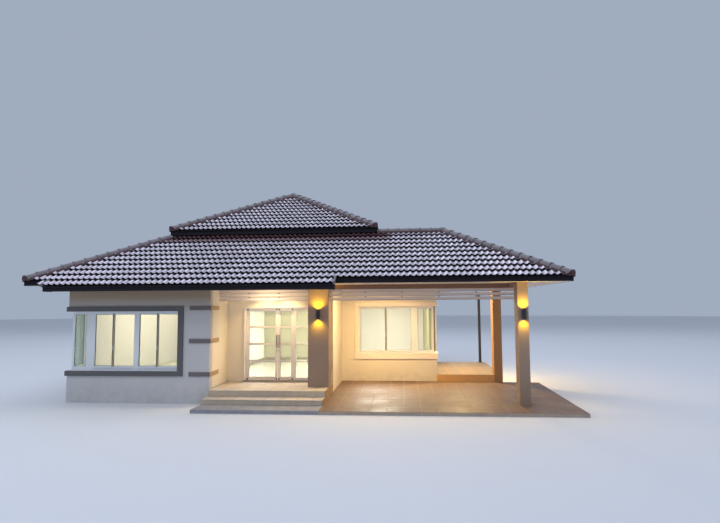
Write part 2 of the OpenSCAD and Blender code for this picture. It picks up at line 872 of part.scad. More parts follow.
// slats below a beam with hangers between them
module slat_run(x0, x1, n) {
    for (i = [0 : 2])
        bx(x0, x1, louvre_y - slat_t / 2, louvre_y + slat_t / 2,
            slat_top - i * slat_pitch - slat_h, slat_top - i * slat_pitch);
    for (i = [1 : n])
        translate([x0 + i * (x1 - x0) / (n + 1), 0, 0])
            bx(-hanger_w / 2, hanger_w / 2, louvre_y + slat_t / 2,
                louvre_y + slat_t / 2 + hanger_t,
                slat_top - 2 * slat_pitch - slat_h, slat_top + beam_lift);
}

module louvres() {
    color("wheat") {
        slat_run(porch_x, side_x - column_w, 2);
        slat_run(side_x, post_x0 + post_w / 2, 4);
    }
}

module ceiling_and_soffit() {
    color("white")
        plate(eave_outline(board), ceiling_z, ceiling_z + soffit_t);
}

module lower_fascia() {
    color("black")
        translate([0, 0, ceiling_z])
            linear_extrude(height = fascia_top - ceiling_z)
                difference() {
                    polygon(eave_outline(0));
                    polygon(eave_outline(board));
                }
}

module front_eave_extension() {
    color("black") {
        // the tiled course
        translate([ext_l, 0, 0])
            rotate([90, 0, 90])
                linear_extrude(height = ext_r - ext_l)
                    polygon([[ext_f, edge_z - k * course - roof_t],
                        [edge_f, edge_z - roof_t], [edge_f, edge_z - course_step],
                        [ext_f, edge_z - k * course]]);
        // the boxed eave below it
        translate([ext_l + over, 0, 0])
            rotate([90, 0, 90])
                linear_extrude(height = ext_r - ext_l - 2 * over)
                    polygon([[ext_fascia_f, ext_z0], [fascia_f, ext_z0],
                        [fascia_f, fascia_top - board], [edge_f, edge_z - roof_t],
                        [ext_fascia_f, plane_f([0, ext_fascia_f]) - roof_t]]);
    }
}

module upper_fascia() {
    color("black") {
        difference() {
            square_ring(upper_half - over, board, upper_z - over - upper_fascia_h, upper_fascia_h);
            // room for the carport ridge, which runs in below the fascia
            translate([mid_x + curb_half, 0, 0])
                rotate([90, 0, 90])
                    linear_extrude(height = upper_half - curb_half)
                        polygon([[d0 - upper_eave, curb_z + slit - k * upper_eave],
                            [d0, curb_z + slit],
                            [d0 + upper_eave, curb_z + slit - k * upper_eave]]);
        }
        // the curb that carries the upper tier
        square_ring(curb_half, curb_t, curb_z - roof_t, tier_step - slit);
    }
}

c0 = mid_x - curb_half;
c1 = mid_x + curb_half;
d0 = mid_y - curb_half;
d1 = mid_y + curb_half;
ridge_x = port_r - port_half;

// upright walls round the middle of the roof, from half its side
module square_ring(half, t, z, h) {
    translate([mid_x, mid_y, z])
        linear_extrude(height = h)
            difference() {
                square(2 * half, center = true);
                square(2 * (half - t), center = true);
            }
}

module lower_front_slope() {
    color("brown")
        course_slope([edge_l, edge_f], [port_r, edge_f], [0, 1], 1, 1, port_half);
}

module lower_left_slope() {
    color("brown")
        course_slope([edge_l, edge_b], [edge_l, edge_f], [1, 0], 1, 1, port_half);
}

module lower_rear_slope() {
    color("brown")
        course_slope([edge_r, edge_b], [edge_l, edge_b], [0, -1], 1, 1, port_half);
}

module lower_right_slope() {
    color("brown")
        course_slope([edge_r, port_b], [edge_r, edge_b], [-1, 0], -1, 1, port_half);
}

module carport_rear_slope() {
    color("brown")
        course_slope([port_r, port_b], [edge_r, port_b], [0, -1], 1, -1, port_half);
}

module carport_end_slope() {
    color("brown")
        course_slope([port_r, edge_f], [port_r, port_b], [-1, 0], 1, 1, port_half - tip);
}

module upper_roof() {
    prof = concat([[0, -roof_t]], tiled_top(upper_half, top_bed_w));
    n = len(prof) - 1;
    color("brown")
        polyhedron(
            points = concat(
                [for (j = [0 : n - 1], q = [[-1, -1], [1, -1], [1, 1], [-1, 1]])
                    [mid_x + q[0] * (upper_half - prof[j][0]),
                        mid_y + q[1] * (upper_half - prof[j][0]), upper_z + prof[j][1]]],
                [[mid_x, mid_y, apex_z], [mid_x, mid_y, apex_z - roof_t]]),
            faces = concat(
                [for (j = [0 : n - 2], i = [0 : 3])
                    [4 * j + i, 4 * j + 4 + i, 4 * j + 4 + (i + 1) % 4, 4 * j + (i + 1) % 4]],
                [for (i = [0 : 3]) [4 * n - 4 + i, 4 * n, 4 * n - 4 + (i + 1) % 4]],
                [for (i = [0 : 3]) [(i + 1) % 4, 4 * n + 1, i]]));
}

// hip cap from corner a up the 45 degree hip over a run, towards s
module hip(a, z, s, run0, run1) {
    cap([a[0] + s[0] * run0, a[1] + s[1] * run0, z + k * run0],
        [a[0] + s[0] * run1, a[1] + s[1] * run1, z + k * run1], cap_w, k / sqrt(2));
}

module lower_ridge_caps() {
    color("dimgrey") {
        run1 = roof_half - upper_half + over - cap_gap;
        hip([edge_l, edge_f], edge_z, [1, 1], cap_start, run1);
        hip([edge_l, edge_b], edge_z, [1, -1], cap_start, run1);
        hip([edge_r, edge_b], edge_z, [-1, -1], cap_start, run1);
        hip([port_r, edge_f], edge_z, [-1, 1], cap_start, port_half - cap_end);
        hip([port_r, port_b], edge_z, [-1, -1], cap_start, port_half - cap_end);
        cap([mid_x + upper_half - over + cap_gap, d0, curb_z], [ridge_x, d0, curb_z], cap_w, k);
    }
}

module upper_ridge_caps() {
    color("dimgrey") {
        for (s = [[1, 1], [1, -1], [-1, -1], [-1, 1]])
            hip([mid_x - s[0] * upper_half, mid_y - s[1] * upper_half], upper_z, s, cap_start,
                upper_half - apex_half - cap_gap);
        // cover on the top point
        translate([mid_x, mid_y, 0])
            polyhedron(
                points = concat(
                    [for (q = [[-1, -1], [1, -1], [1, 1], [-1, 1]])
                        [q[0] * apex_half, q[1] * apex_half, apex_z - apex_half * k + slit]],
                    [for (q = [[-1, -1], [1, -1], [1, 1], [-1, 1]])
                        [q[0] * apex_half, q[1] * apex_half, apex_z - apex_half * k + apex_rim]],
                    [[0, 0, apex_z + slit], [0, 0, apex_z + apex_up]]),
                faces = concat(
                    [for (i = [0 : 3]) [i + 4, 9, (i + 1) % 4 + 4]],
                    [for (i = [0 : 3]) [(i + 1) % 4, 8, i]],
                    [for (i = [0 : 3]) [i + 4, (i + 1) % 4 + 4, (i + 1) % 4, i]]));
    }
}

// tubular lamp on a small bracket, on a face that looks towards -Y
module lamp(x, y) {
    translate([x, y - lamp_gap - lamp_d / 2, lamp_z])
        cylinder(d = lamp_d, h = lamp_h, $fn = 48);
    bx(x - bracket_w / 2, x + bracket_w / 2, y - lamp_gap - lamp_d / 4, y,
        lamp_z + bracket_in, lamp_z + lamp_h - bracket_in);
}

module wall_lamps() {
    color("black") {
        lamp(side_x - column_w / 2, column_back);
        lamp(post_x0 + post_w / 2, -post_forward);
    }
}

house_floor_slab();
entrance_steps();
carport_slab();
terrace_slab();
wing_front_wall();
left_side_wall();
porch_side_wall();
door_lintel_wall();
carport_side_wall();
carport_back_wall();
right_side_wall();
rear_wall();
hall_partitions();
window_surrounds();
accent_bars();
wing_window();
carport_window();
plain_windows();
window_glass();
entrance_frame();
entrance_threshold();
main_leaf();
main_leaf_glass();
side_leaf();
side_leaf_glass();
porch_column();
carport_columns();
terrace_post();
roof_beams();
louvres();
ceiling_and_soffit();
lower_fascia();
front_eave_extension();
upper_fascia();
lower_front_slope();
lower_left_slope();
lower_rear_slope();
lower_right_slope();
carport_rear_slope();
carport_end_slope();
upper_roof();
lower_ridge_caps();
upper_ridge_caps();
wall_lamps();
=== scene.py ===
from math import ceil, cos, pi, radians, sin, sqrt

import bmesh
import bpy
from mathutils import Matrix, Vector


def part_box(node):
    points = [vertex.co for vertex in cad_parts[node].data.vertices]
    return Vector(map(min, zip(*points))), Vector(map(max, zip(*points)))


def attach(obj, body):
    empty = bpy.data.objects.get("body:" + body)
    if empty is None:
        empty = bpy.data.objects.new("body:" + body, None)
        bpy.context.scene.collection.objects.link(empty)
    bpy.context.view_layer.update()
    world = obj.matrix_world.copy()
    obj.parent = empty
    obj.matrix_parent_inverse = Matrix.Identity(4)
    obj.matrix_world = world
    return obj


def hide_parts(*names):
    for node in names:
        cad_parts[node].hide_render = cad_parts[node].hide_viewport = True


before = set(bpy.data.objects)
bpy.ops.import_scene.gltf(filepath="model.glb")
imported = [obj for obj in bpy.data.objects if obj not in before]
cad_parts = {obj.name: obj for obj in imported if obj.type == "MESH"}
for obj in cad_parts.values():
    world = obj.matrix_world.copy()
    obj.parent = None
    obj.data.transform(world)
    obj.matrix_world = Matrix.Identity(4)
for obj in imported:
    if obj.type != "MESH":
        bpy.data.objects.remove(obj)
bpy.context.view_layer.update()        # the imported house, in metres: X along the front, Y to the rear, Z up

HOUSE = "house"
X, Y, Z = Vector((1, 0, 0)), Vector((0, 1, 0)), Vector((0, 0, 1))

# Roof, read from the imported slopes
SLOPE_T = 0.06
front_lo, front_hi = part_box("lower_front_slope")
rear_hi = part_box("lower_rear_slope")[1]
top_lo, top_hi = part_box("upper_roof")
ext_lo, ext_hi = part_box("front_eave_extension")
EDGE_L, EDGE_F, PORT_R = front_lo.x, front_lo.y, front_hi.x
EDGE_R, EDGE_B = rear_hi.x, rear_hi.y
CURB_F, PORT_B = front_hi.y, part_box("carport_rear_slope")[1].y
EDGE_Z = front_lo.z + SLOPE_T
CURB_RUN = CURB_F - EDGE_F
RISE = (front_hi.z - EDGE_Z) / CURB_RUN
STEEP = sqrt(1 + RISE * RISE)
TOP_Z = top_lo.z + SLOPE_T
TOP_HALF = (top_hi.x - top_lo.x) / 2
MID = Vector(((top_lo.x + top_hi.x) / 2, (top_lo.y + top_hi.y) / 2, 0))
CURB_HALF = MID.y - CURB_F
APEX_Z = top_hi.z
FASCIA_T = 0.03
OVER = 0.04              # the tiles stand out past the fascia by this

# Eave corners: front left, front right, rear left, rear right and the rear of the carport arm;
# then the ends of the ridge over the arm, the sides of the curb and the upper eave's corners
FL, FR, BL, BR, PR = (Vector((x, y, EDGE_Z)) for x, y in ((EDGE_L, EDGE_F), (PORT_R, EDGE_F),
    (EDGE_L, EDGE_B), (EDGE_R, EDGE_B), (PORT_R, PORT_B)))
RIDGE_END = Vector((PORT_R - CURB_RUN, CURB_F, front_hi.z))
VALLEY_TOP = Vector((MID.x + CURB_HALF, CURB_F, front_hi.z))
CURB_L, CURB_R, CURB_B = MID.x - CURB_HALF, MID.x + CURB_HALF, MID.y + CURB_HALF
SQUARE = ((-1, -1), (1, -1), (1, 1), (-1, 1))
UPPER = [MID + Vector((sx * TOP_HALF, sy * TOP_HALF, TOP_Z)) for sx, sy in SQUARE]
VALLEY_GAP = 0.045

# Porch and carport openings at the front
PORCH_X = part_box("porch_side_wall")[0].x
POST_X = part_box("carport_columns")[0].x - 0.005
BEAM_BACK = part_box("louvres")[1].y + 0.2

# Roof tiles: two waves to a tile
TILE_W = 0.30
WAVE = 0.15
WAVE_H = 0.022
WAVE_STEPS = 7
TILE_T = 0.016
TILE_LAP = 0.06
TILE_LIFT = 0.036
TILE_START = 0.013       # keeps the noses inside the edge of the slope
TILE_TURN = (0.003, 0.004, 0.002)
LOWER_COURSES = 10
UPPER_COURSES = 11
GAUGE = CURB_RUN * STEEP / LOWER_COURSES

# Caps on hips and ridges, with the line of their mortar bed and the dome at its low end
CAP_R = 0.125
CAP_LEN = 0.36
CAP_STEP = 0.325
CAP_T = 0.014
CAP_SINK = 0.035
CAP_SQUAT = 0.86
CAP_START = 0.03
CAP_TURN = (0.006, 0.008, 0.006)
BED_LINE = ((-0.175, -0.045), (-0.15, 0.0), (-0.06, 0.04), (0.0, 0.05), (0.06, 0.04),
    (0.15, 0.0), (0.175, -0.045))
BED_DOME = ((0.04, 1.0), (0.0, 0.97), (-0.02, 0.84), (-0.034, 0.58), (-0.04, 0.25))

# Floors
STONE = 0.40
INNER_STONE = 0.60
STONE_T = 0.005
JOINT = 0.008
STONE_TURN = (0.0006, 0.0006, 0.0004)
CARPORT_FALL = 0.044
APRON_Z = 0.08
STEP_RUNS = ((-0.08, 1.45, 0.355, 0.205), (-0.56, -0.08, 0.205, APRON_Z))  # front, rear, top, foot
SKIRTING_T, SKIRTING_H = 0.012, 0.10

# Rooms: inner faces of the outer walls, faces of the hall, of the front room beside the porch,
# of the partitions towards the other rooms, of the room behind the carport, and the front face
# of the entrance wall
ROOM_L, ROOM_F, ROOM_R, ROOM_B = 0.2, 0.2, 9.8, 10.14
HALL_L, HALL_F, HALL_R, HALL_B = 3.43, 1.65, 6.76, 7.49
WING_R, WING_B = 3.7, 1.55
PART_L, PART_B = 3.33, 7.59
SIDE_L, SIDE_F = 6.96, 3.8
PORCH_B = 1.4

# Entrance: glazing bar, half the depth of a leaf, ends of the pull plate, height of the lock
BAR, HALF_LEAF = 0.03, 0.025
PLATE_LOW, PLATE_HIGH, LOCK_Z = 1.33, 1.69, 1.24

# Lamps
LAMP_R = 0.0575
LAMP_GAP = 0.02
CEILING_LAMPS = ((5.04, 1.0), (5.68, 1.0), (8.25, 1.7), (10.9, 4.7))


def feed(tree, socket, value):
    """Gives a socket a plain value, another socket or the first output of a node."""
    if isinstance(value, bpy.types.Node):
        value = value.outputs[0]
    if isinstance(value, bpy.types.NodeSocket):
        tree.links.new(value, socket)
    else:
        socket.default_value = value


def add_node(tree, kind, feeds, settings):
    n = tree.nodes.new(kind)
    for key, value in settings.items():
        setattr(n, key, value)
    for key, value in feeds.items():
        feed(tree, n.inputs[key], value)
    return n


class Look:
    """Builds one material: a Principled shader fed by patterns on Object coordinates."""

    def __init__(self, name, **values):
        self.mat = bpy.data.materials.new(name)
        self.mat.use_nodes = True
        self.tree = self.mat.node_tree
        self.shader = self.tree.nodes["Principled BSDF"]
        self.place = self.add("ShaderNodeTexCoord").outputs["Object"]
        for key, value in values.items():
            self.shader.inputs[key.replace("_", " ")].default_value = value

    def add(self, kind, feeds=None, **settings):
        return add_node(self.tree, kind, feeds or {}, settings)

    def feed(self, key, value):
        feed(self.tree, self.shader.inputs[key], value)

    def stretched(self, *scale):
        return self.add("ShaderNodeMapping", {"Vector": self.place, "Scale": scale}).outputs[0]

    def noise(self, scale, detail=3.0, rough=0.5, at=None, warp=0.0):
        return self.add("ShaderNodeTexNoise", {"Vector": at or self.place, "Scale": scale,
            "Detail": detail, "Roughness": rough, "Distortion": warp}).outputs["Fac"]

    def part(self, axis):
        return self.add("ShaderNodeSeparateXYZ", {"Vector": self.place}).outputs[axis]

    def stored(self, name):
        return self.add("ShaderNodeAttribute", attribute_name=name).outputs["Fac"]

    def calc(self, kind, a, b=0.5):
        return self.add("ShaderNodeMath", {0: a, 1: b}, operation=kind).outputs[0]

    def times(self, a, b):
        return self.calc("MULTIPLY", a, b)

    def zone(self, lo, hi):
        """1 inside a box, 0 outside it."""
        inside = 1.0
        for axis, low, high in zip("XYZ", lo, hi):
            c = self.part(axis)
            inside = self.times(inside, self.times(self.calc("GREATER_THAN", c, low),
                self.calc("LESS_THAN", c, high)))
        return inside

    def step(self, value, low, high, to_low=0.0, to_high=1.0):
        return self.add("ShaderNodeMapRange", {"Value": value, "From Min": low, "From Max": high,
            "To Min": to_low, "To Max": to_high}).outputs[0]

    def mix(self, fac, a, b):
        a, b = (v if isinstance(v, bpy.types.NodeSocket) else (*v, 1.0) for v in (a, b))
        return self.add("ShaderNodeMix", {0: fac, 6: a, 7: b}, data_type="RGBA").outputs[2]

    def tones(self, fac, colour, dark, light):
        return self.mix(fac, shade(colour, dark), shade(colour, light))

    def over(self, tone, mask, share, colour):
        """Lays a colour over a tone where the mask shows, at a share of its full strength."""
        return self.mix(self.times(mask, share), tone, colour)

    def flecked(self, tone, noise, low, high, share, colour):
        """Lays a colour over a tone where a noise climbs from low to high."""
        return self.over(tone, self.step(self.noise(*noise), low, high), share, colour)

    def patched(self, tone, patches, finish):
        """Fills boxes with other colours; a patch is its colour and the box's two corners."""
        for colour, lo, hi in patches:
            tone = self.mix(self.zone(lo, hi), tone, finish(colour))
        return tone

    def bump(self, height, strength, depth, **below):
        return self.add("ShaderNodeBump", {"Height": height, "Strength": strength,
            "Distance": depth, **below}).outputs[0]

    def done(self, colour, rough=None, normal=None):
        for key, value in (("Base Color", colour), ("Roughness", rough), ("Normal", normal)):
            if value is not None:
                self.feed(key, value)
        return self.mat


def shade(colour, by):
    return tuple(c * by for c in colour)


WITHIN_WALLS = ((0.05, 0.05, 0.0), (9.95, 10.29, 4.0))
# painted shade of the eaves on the outer walls: the heights where it starts and is full, and its tint
EAVES_SHADE = (2.36, 2.80)
EAVES_SHADE_TINT = (0.60, 0.47, 0.32)
MUD = (0.20, 0.15, 0.11)


def wall_paint(name, colour, dirt=0.5, patches=(), eaves=False):
    """Painted render: cloudy tone, faint runs, splashes near the ground and a rolled surface.
    Under the eaves the outer faces are darker and browner: painted shade of the eaves."""
    k = Look(name)
    cloudy = k.step(k.noise(0.45, 4.0), 0.3, 0.7)
    tone = k.tones(cloudy, colour, 0.93, 1.05)
    if eaves:
        # painted shade: the outer faces grow darker and browner towards the eaves
        outer = k.calc("SUBTRACT", 1.0, k.zone(*WITHIN_WALLS))
        eave_shade_colour = tuple(c * f for c, f in zip(colour, EAVES_SHADE_TINT))
        tone = k.over(tone, outer, k.step(k.part("Z"), *EAVES_SHADE), eave_shade_colour)
    tone = k.patched(tone, patches, lambda c: k.tones(cloudy, c, 0.95, 1.04))
    runs = (1.0, 5.0, 0.5, k.stretched(9.0, 9.0, 0.35))
    tone = k.flecked(tone, runs, 0.56, 0.78, 0.10 * dirt, shade(colour, 0.62))
    low = k.step(k.part("Z"), 0.05, 0.75, 1.0, 0.0)
    splash = k.times(low, k.step(k.noise(5.0, 6.0, 0.65), 0.38, 0.68))
    tone = k.over(tone, splash, 0.45 * dirt, MUD)
    rolled = k.bump(k.noise(140.0, 2.0), 0.16, 0.003)
    return k.done(tone, k.step(cloudy, 0.0, 1.0, 0.55, 0.68),
        k.bump(k.noise(2.2, 3.0), 0.10, 0.02, Normal=rolled))


def stone_floor(name, colour, rough):
    """Fired floor tile: each tile has its own tone, with soft veins and fine specks."""
    k = Look(name)
    tone = k.tones(k.stored("tone"), colour, 0.94, 1.05)
    tone = k.flecked(tone, (3.5, 6.0, 0.62, None, 0.8), 0.42, 0.62, 0.14, shade(colour, 0.72))
    tone = k.flecked(tone, (170.0, 2.0), 0.60, 0.72, 0.18, shade(colour, 0.55))
    worn = k.step(k.noise(1.3, 4.0), 0.35, 0.7, rough * 0.85, rough * 1.3)
    return k.done(tone, worn, k.bump(k.noise(60.0, 3.0), 0.10, 0.002))


ROOF_DUST = (0.26, 0.23, 0.22)
# painted shade of the waved tiles: below the upper eave, in the troughs, on the nose and in the lap
UPPER_EAVE_SHADE = (0.24, 0.095, 0.10)
TROUGH_SHADE = (0.075, 0.06, 0.07)
NOSE_LAP_SHADE = (0.008, 0.006, 0.008)


def roof_glaze(name, colour, sheen, waved=False):
    """Glazed roof tile: a tone of its own, dust in the hollows and weathered patches. A waved
    tile carries painted light and shade: darker troughs, a lighter flank on each wave, a nearly
    black nose and lap as painted shadow, and painted shade, darker and redder, below the upper eave."""
    k = Look(name, Coat_Weight=sheen, Coat_Roughness=0.38)
    tone = k.tones(k.stored("tone"), colour, 0.86, 1.14)
    tone = k.flecked(tone, (0.9, 5.0, 0.6), 0.45, 0.75, 0.30, shade(colour, 0.62))
    tone = k.flecked(tone, (26.0, 4.0, 0.6), 0.55, 0.75, 0.22, ROOF_DUST)
    if waved:
        off_x, off_y = (k.calc("ABSOLUTE", k.calc("SUBTRACT", k.part(axis), middle))
            for axis, middle in (("X", MID.x), ("Y", MID.y)))
        near = k.step(k.calc("MAXIMUM", off_x, off_y), TOP_HALF + 0.22, TOP_HALF + 0.52, 1.0, 0.0)
        # painted shade: darker and redder below the upper eave
        tone = k.over(tone, near, k.calc("LESS_THAN", k.part("Z"), TOP_Z - 0.02), UPPER_EAVE_SHADE)
        # painted shade in the troughs, lighter on the flank that catches the light
        tone = k.mix(k.step(k.stored("crest_light"), 0.0, 0.8, 0.7, 0.0), tone, TROUGH_SHADE)
        # painted shadow on the nose and in the lap under the next course, with its sheen taken away
        lap_shade = k.step(k.stored("lap_shade"), 0.0, 1.0)
        tone = k.mix(lap_shade, tone, NOSE_LAP_SHADE)
        for key, bare, lapped in (("Coat Weight", sheen, 0.0), ("Specular IOR Level", 0.5, 0.05)):
            k.feed(key, k.step(lap_shade, 0.0, 1.0, bare, lapped))
    rough = k.step(k.noise(7.0, 4.0), 0.3, 0.7, 0.46, 0.60)
    return k.done(tone, rough, k.bump(k.noise(90.0, 3.0), 0.12, 0.002))


def cast_mortar(name, colour, patches=()):
    k = Look(name, Roughness=0.85)
    clouds = k.noise(6.0, 5.0)

    def cast(c):
        return k.tones(clouds, c, 0.7, 1.25)

    return k.done(k.patched(cast(colour), patches, cast), None,
        k.bump(k.noise(75.0, 5.0, 0.7), 0.5, 0.004))


def painted_board(name, colour, along, rough, gloss):
    """Painted fibre board: faint grain along its run and a little dust."""
    k = Look(name, Specular_IOR_Level=gloss)
    grain = k.noise(1.0, 5.0, 0.6, at=k.stretched(*along))
    tone = k.tones(grain, colour, 0.80, 1.25)
    tone = k.flecked(tone, (3.0, 5.0, 0.6), 0.52, 0.78, 0.14, shade(colour, 2.2))
    return k.done(tone, k.step(grain, 0.3, 0.7, rough * 0.85, rough * 1.2),
        k.bump(grain, 0.18, 0.003))


def slat_board(name, colour, top, pitch, height):
    """Painted slats, with painted shade towards the upper and lower edge of each one."""
    k = Look(name, Specular_IOR_Level=0.4)
    grain = k.noise(1.0, 5.0, 0.6, at=k.stretched(0.6, 14.0, 14.0))
    tone = k.tones(grain, colour, 0.86, 1.14)
    slat = k.calc("FRACT", k.calc("DIVIDE", k.calc("SUBTRACT", top, k.part("Z")), pitch))
    middle = height / pitch / 2
    off_middle = k.calc("ABSOLUTE", k.calc("SUBTRACT", slat, middle))
    # painted shade along the upper and lower edge of each slat
    edge = k.step(off_middle, middle * 0.66, middle * 0.98)
    tone = k.over(tone, edge, 0.8, shade(colour, 0.42))
    return k.done(tone, k.step(grain, 0.3, 0.7, 0.42, 0.6), k.bump(grain, 0.18, 0.003))


def soffit_board(name, colour):
    """Ceiling boards: a soft painted face with V joints every 150 mm."""
    k = Look(name, Roughness=0.5)
    cloudy = k.tones(k.noise(0.8, 3.0), colour, 0.94, 1.04)
    strip = k.calc("FRACT", k.times(k.part("Y"), 1 / 0.15))
    groove = k.step(k.calc("ABSOLUTE", k.calc("SUBTRACT", strip, 0.5)), 0.46, 0.5)
    tone = k.over(cloudy, groove, 0.55, shade(colour, 0.45))
    return k.done(tone, None, k.bump(k.times(groove, -1.0), 0.6, 0.006))


def powder_coat(name, colour, rough=0.35, patches=()):
    k = Look(name)
    tone = k.tones(k.noise(1.6, 3.0), colour, 0.95, 1.03)
    tone = k.patched(tone, patches, tuple)
    tone = k.flecked(tone, (14.0, 5.0, 0.65), 0.58, 0.8, 0.12, shade(colour, 0.55))
    return k.done(tone, k.step(k.noise(30.0, 2.0), 0.3, 0.7, rough * 0.8, rough * 1.2),
        k.bump(k.noise(420.0, 1.0), 0.05, 0.0006))


def brushed_metal(name, colour, rough=0.3):
    k = Look(name, Metallic=1.0)
    lines = k.noise(1.0, 4.0, at=k.stretched(260.0, 260.0, 6.0))
    return k.done(k.tones(lines, colour, 0.75, 1.2),
        k.step(lines, 0.3, 0.7, rough * 0.7, rough * 1.3), k.bump(lines, 0.08, 0.0006))


def polished_granite(name, dark, light):
    k = Look(name, Coat_Weight=0.5, Coat_Roughness=0.08)
    grains = k.add("ShaderNodeTexVoronoi", {"Vector": k.place, "Scale": 160.0}).outputs["Distance"]
    tone = k.mix(k.step(grains, 0.15, 0.5), dark, light)
    tone = k.flecked(tone, (230.0, 2.0), 0.58, 0.68, 0.7, shade(light, 1.8))
    return k.done(tone, 0.28, k.bump(grains, 0.03, 0.0006))


def window_pane(name):
    """Clear float glass, green where the side lights are seen edge on."""
    k = Look(name)
    side = k.step(k.part("X"), 0.10, 0.13, 1.0, 0.0)
    k.feed("Alpha", k.step(side, 0.0, 1.0, 0.14, 0.72))
    return k.done(k.mix(side, (0.62, 0.70, 0.68), (0.02, 0.20, 0.19)),
        k.step(k.noise(2.4, 4.0), 0.4, 0.7, 0.03, 0.09))


def glowing(name, colour, strength):
    k = Look(name, Roughness=0.5, Emission_Color=(*colour, 1), Emission_Strength=strength)
    return k.done(k.mix(k.noise(40.0, 2.0), shade(colour, 0.9), colour))


# GREY and CREAM are one off-white paint: grey on the outer walls, and a warmer, lighter cream as painted lamp
# light on the walls, beams and slab edge of the porch and carport
GREY = (0.57, 0.555, 0.55)
CREAM = (0.84, 0.76, 0.62)
TAUPE = (0.34, 0.24, 0.175)
APRON = (0.30, 0.295, 0.32)
AROUND_PORCH = ((3.95, -9.0, -1.0), (99.0, 4.45, 9.0))
GREY_RENDER = wall_paint("grey_render", GREY, eaves=True)
# the inner face of the right wall behind the carport side light is painted dark olive: painted shade
RIGHT_RENDER = wall_paint("right_wall_render", GREY, 0.5,
    (((0.17, 0.17, 0.08), (9.7, 3.7, 0.3), (9.99, 10.3, 3.2)),), eaves=True)
LAMPLIT_CREAM_RENDER = wall_paint("lamplit_cream_render", CREAM, 0.3)
# the hall's back wall has an olive tone, kept darker than the side walls as painted shade
HALL_PAINT = wall_paint("hall_paint", (0.79, 0.78, 0.76), 0.1,
    (((0.44, 0.43, 0.29), (3.4, 7.3, 0.0), (6.8, 7.6, 3.2)),))
TAUPE_RENDER = wall_paint("taupe_render", TAUPE, 0.4,
    (((0.44, 0.24, 0.10), (11.7, 3.3, -0.1), (12.1, 4.0, 3.2)),))
BEAM_PAINT = wall_paint("beam_paint", CREAM, 0.3, (
    ((0.25, 0.125, 0.065), (PORCH_X, -1.0, 2.9), (POST_X, BEAM_BACK, 3.2)),
    (TAUPE, (POST_X, -1.0, 2.9), (99.0, 9.0, 3.2))))
BASE_RENDER = wall_paint("base_render", GREY, 0.5, ((CREAM, *AROUND_PORCH),))
TRIM_TAUPE = wall_paint("trim_taupe", (0.115, 0.11, 0.112), 0.3,
    (((0.95, 0.84, 0.74), *AROUND_PORCH),))
# the porch-side ends of the accent bars are a lighter warm brown: painted lamp light
BAR_TAUPE = wall_paint("bar_taupe", (0.16, 0.14, 0.14), 0.3,
    (((0.46, 0.32, 0.17), (3.88, -0.025, 0.0), (3.95, 1.0, 3.0)),))
FLOOR_STONE = stone_floor("floor_stone", (0.185, 0.115, 0.08), 0.48)
TERRACE_STONE = stone_floor("terrace_stone", (0.28, 0.22, 0.155), 0.45)
STEP_STONE = stone_floor("step_stone", (0.56, 0.49, 0.43), 0.45)
HALL_STONE = stone_floor("hall_stone", (0.58, 0.56, 0.46), 0.16)
GROUT = cast_mortar("grout", (0.42, 0.34, 0.27))
STEP_RENDER = wall_paint("step_render", (0.60, 0.50, 0.375), 0.5)
# the sides of the entrance steps are a dark orange-brown: painted shade
STEP_CORE = cast_mortar("step_core", (0.42, 0.27, 0.14),
    ((APRON, (0.0, -1.3, -0.1), (20.0, -1.2, 0.1)),))
APRON_CEMENT = cast_mortar("apron_cement", APRON)
TERRACE_RENDER = wall_paint("terrace_render", (0.72, 0.40, 0.15), 0.3)
# ROOF_TILE's pale lavender base colour is a painted sky reflection; the glaze itself is dark reddish-brown
ROOF_TILE = roof_glaze("roof_tile", (0.97, 0.88, 0.98), 0.6, waved=True)
RIDGE_TILE = roof_glaze("ridge_tile", (0.165, 0.135, 0.145), 0.5)
# the mortar bed and cap-end plugs are real; their near-black red-brown is painted shade under the caps
BEDDING = cast_mortar("bedding_mortar", (0.085, 0.042, 0.046))
FASCIA = painted_board("fascia_paint", (0.016, 0.014, 0.019), (0.5, 0.5, 14.0), 0.7, 0.15)
SOFFIT = soffit_board("soffit_board", (0.72, 0.66, 0.58))
SLAT = slat_board("slat_paint", (0.80, 0.68, 0.60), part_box("louvres")[1].z, 0.11, 0.08)
WHITE_FRAME = powder_coat("white_frame", (0.78, 0.80, 0.82))
DOOR_PAINT = powder_coat("door_paint", (0.84, 0.78, 0.74), 0.35,
    (((0.14, 0.075, 0.03), (5.315, 1.40, 1.35), (5.385, 1.545, 1.67)),))
# the meeting stiles are white frame, painted dark olive as painted shade
STILE = powder_coat("meeting_stile", (0.26, 0.225, 0.15))
GLASS = window_pane("window_glass")
DARK_METAL = powder_coat("dark_metal", (0.022, 0.022, 0.025), 0.4)
BRONZE = brushed_metal("bronze", (0.24, 0.13, 0.06))
STEEL = brushed_metal("steel", (0.62, 0.62, 0.62))
VALLEY_METAL = brushed_metal("valley_metal", (0.30, 0.31, 0.33), 0.5)
GRANITE = polished_granite("granite", (0.035, 0.02, 0.018), (0.16, 0.09, 0.07))
LAMP_GLOW = glowing("lamp_glow", (1.0, 0.66, 0.16), 14.0)
CEILING_GLOW = glowing("ceiling_glow", (1.0, 0.86, 0.58), 9.0)
RUBBER = powder_coat("rubber", (0.03, 0.03, 0.032), 0.6)
SKIRTING = polished_granite("skirting", (0.10, 0.085, 0.05), (0.22, 0.19, 0.11))
UNDERLAY = painted_board("roof_boarding", (0.012, 0.0105, 0.014), (4.0, 4.0, 4.0), 0.8, 0.15)

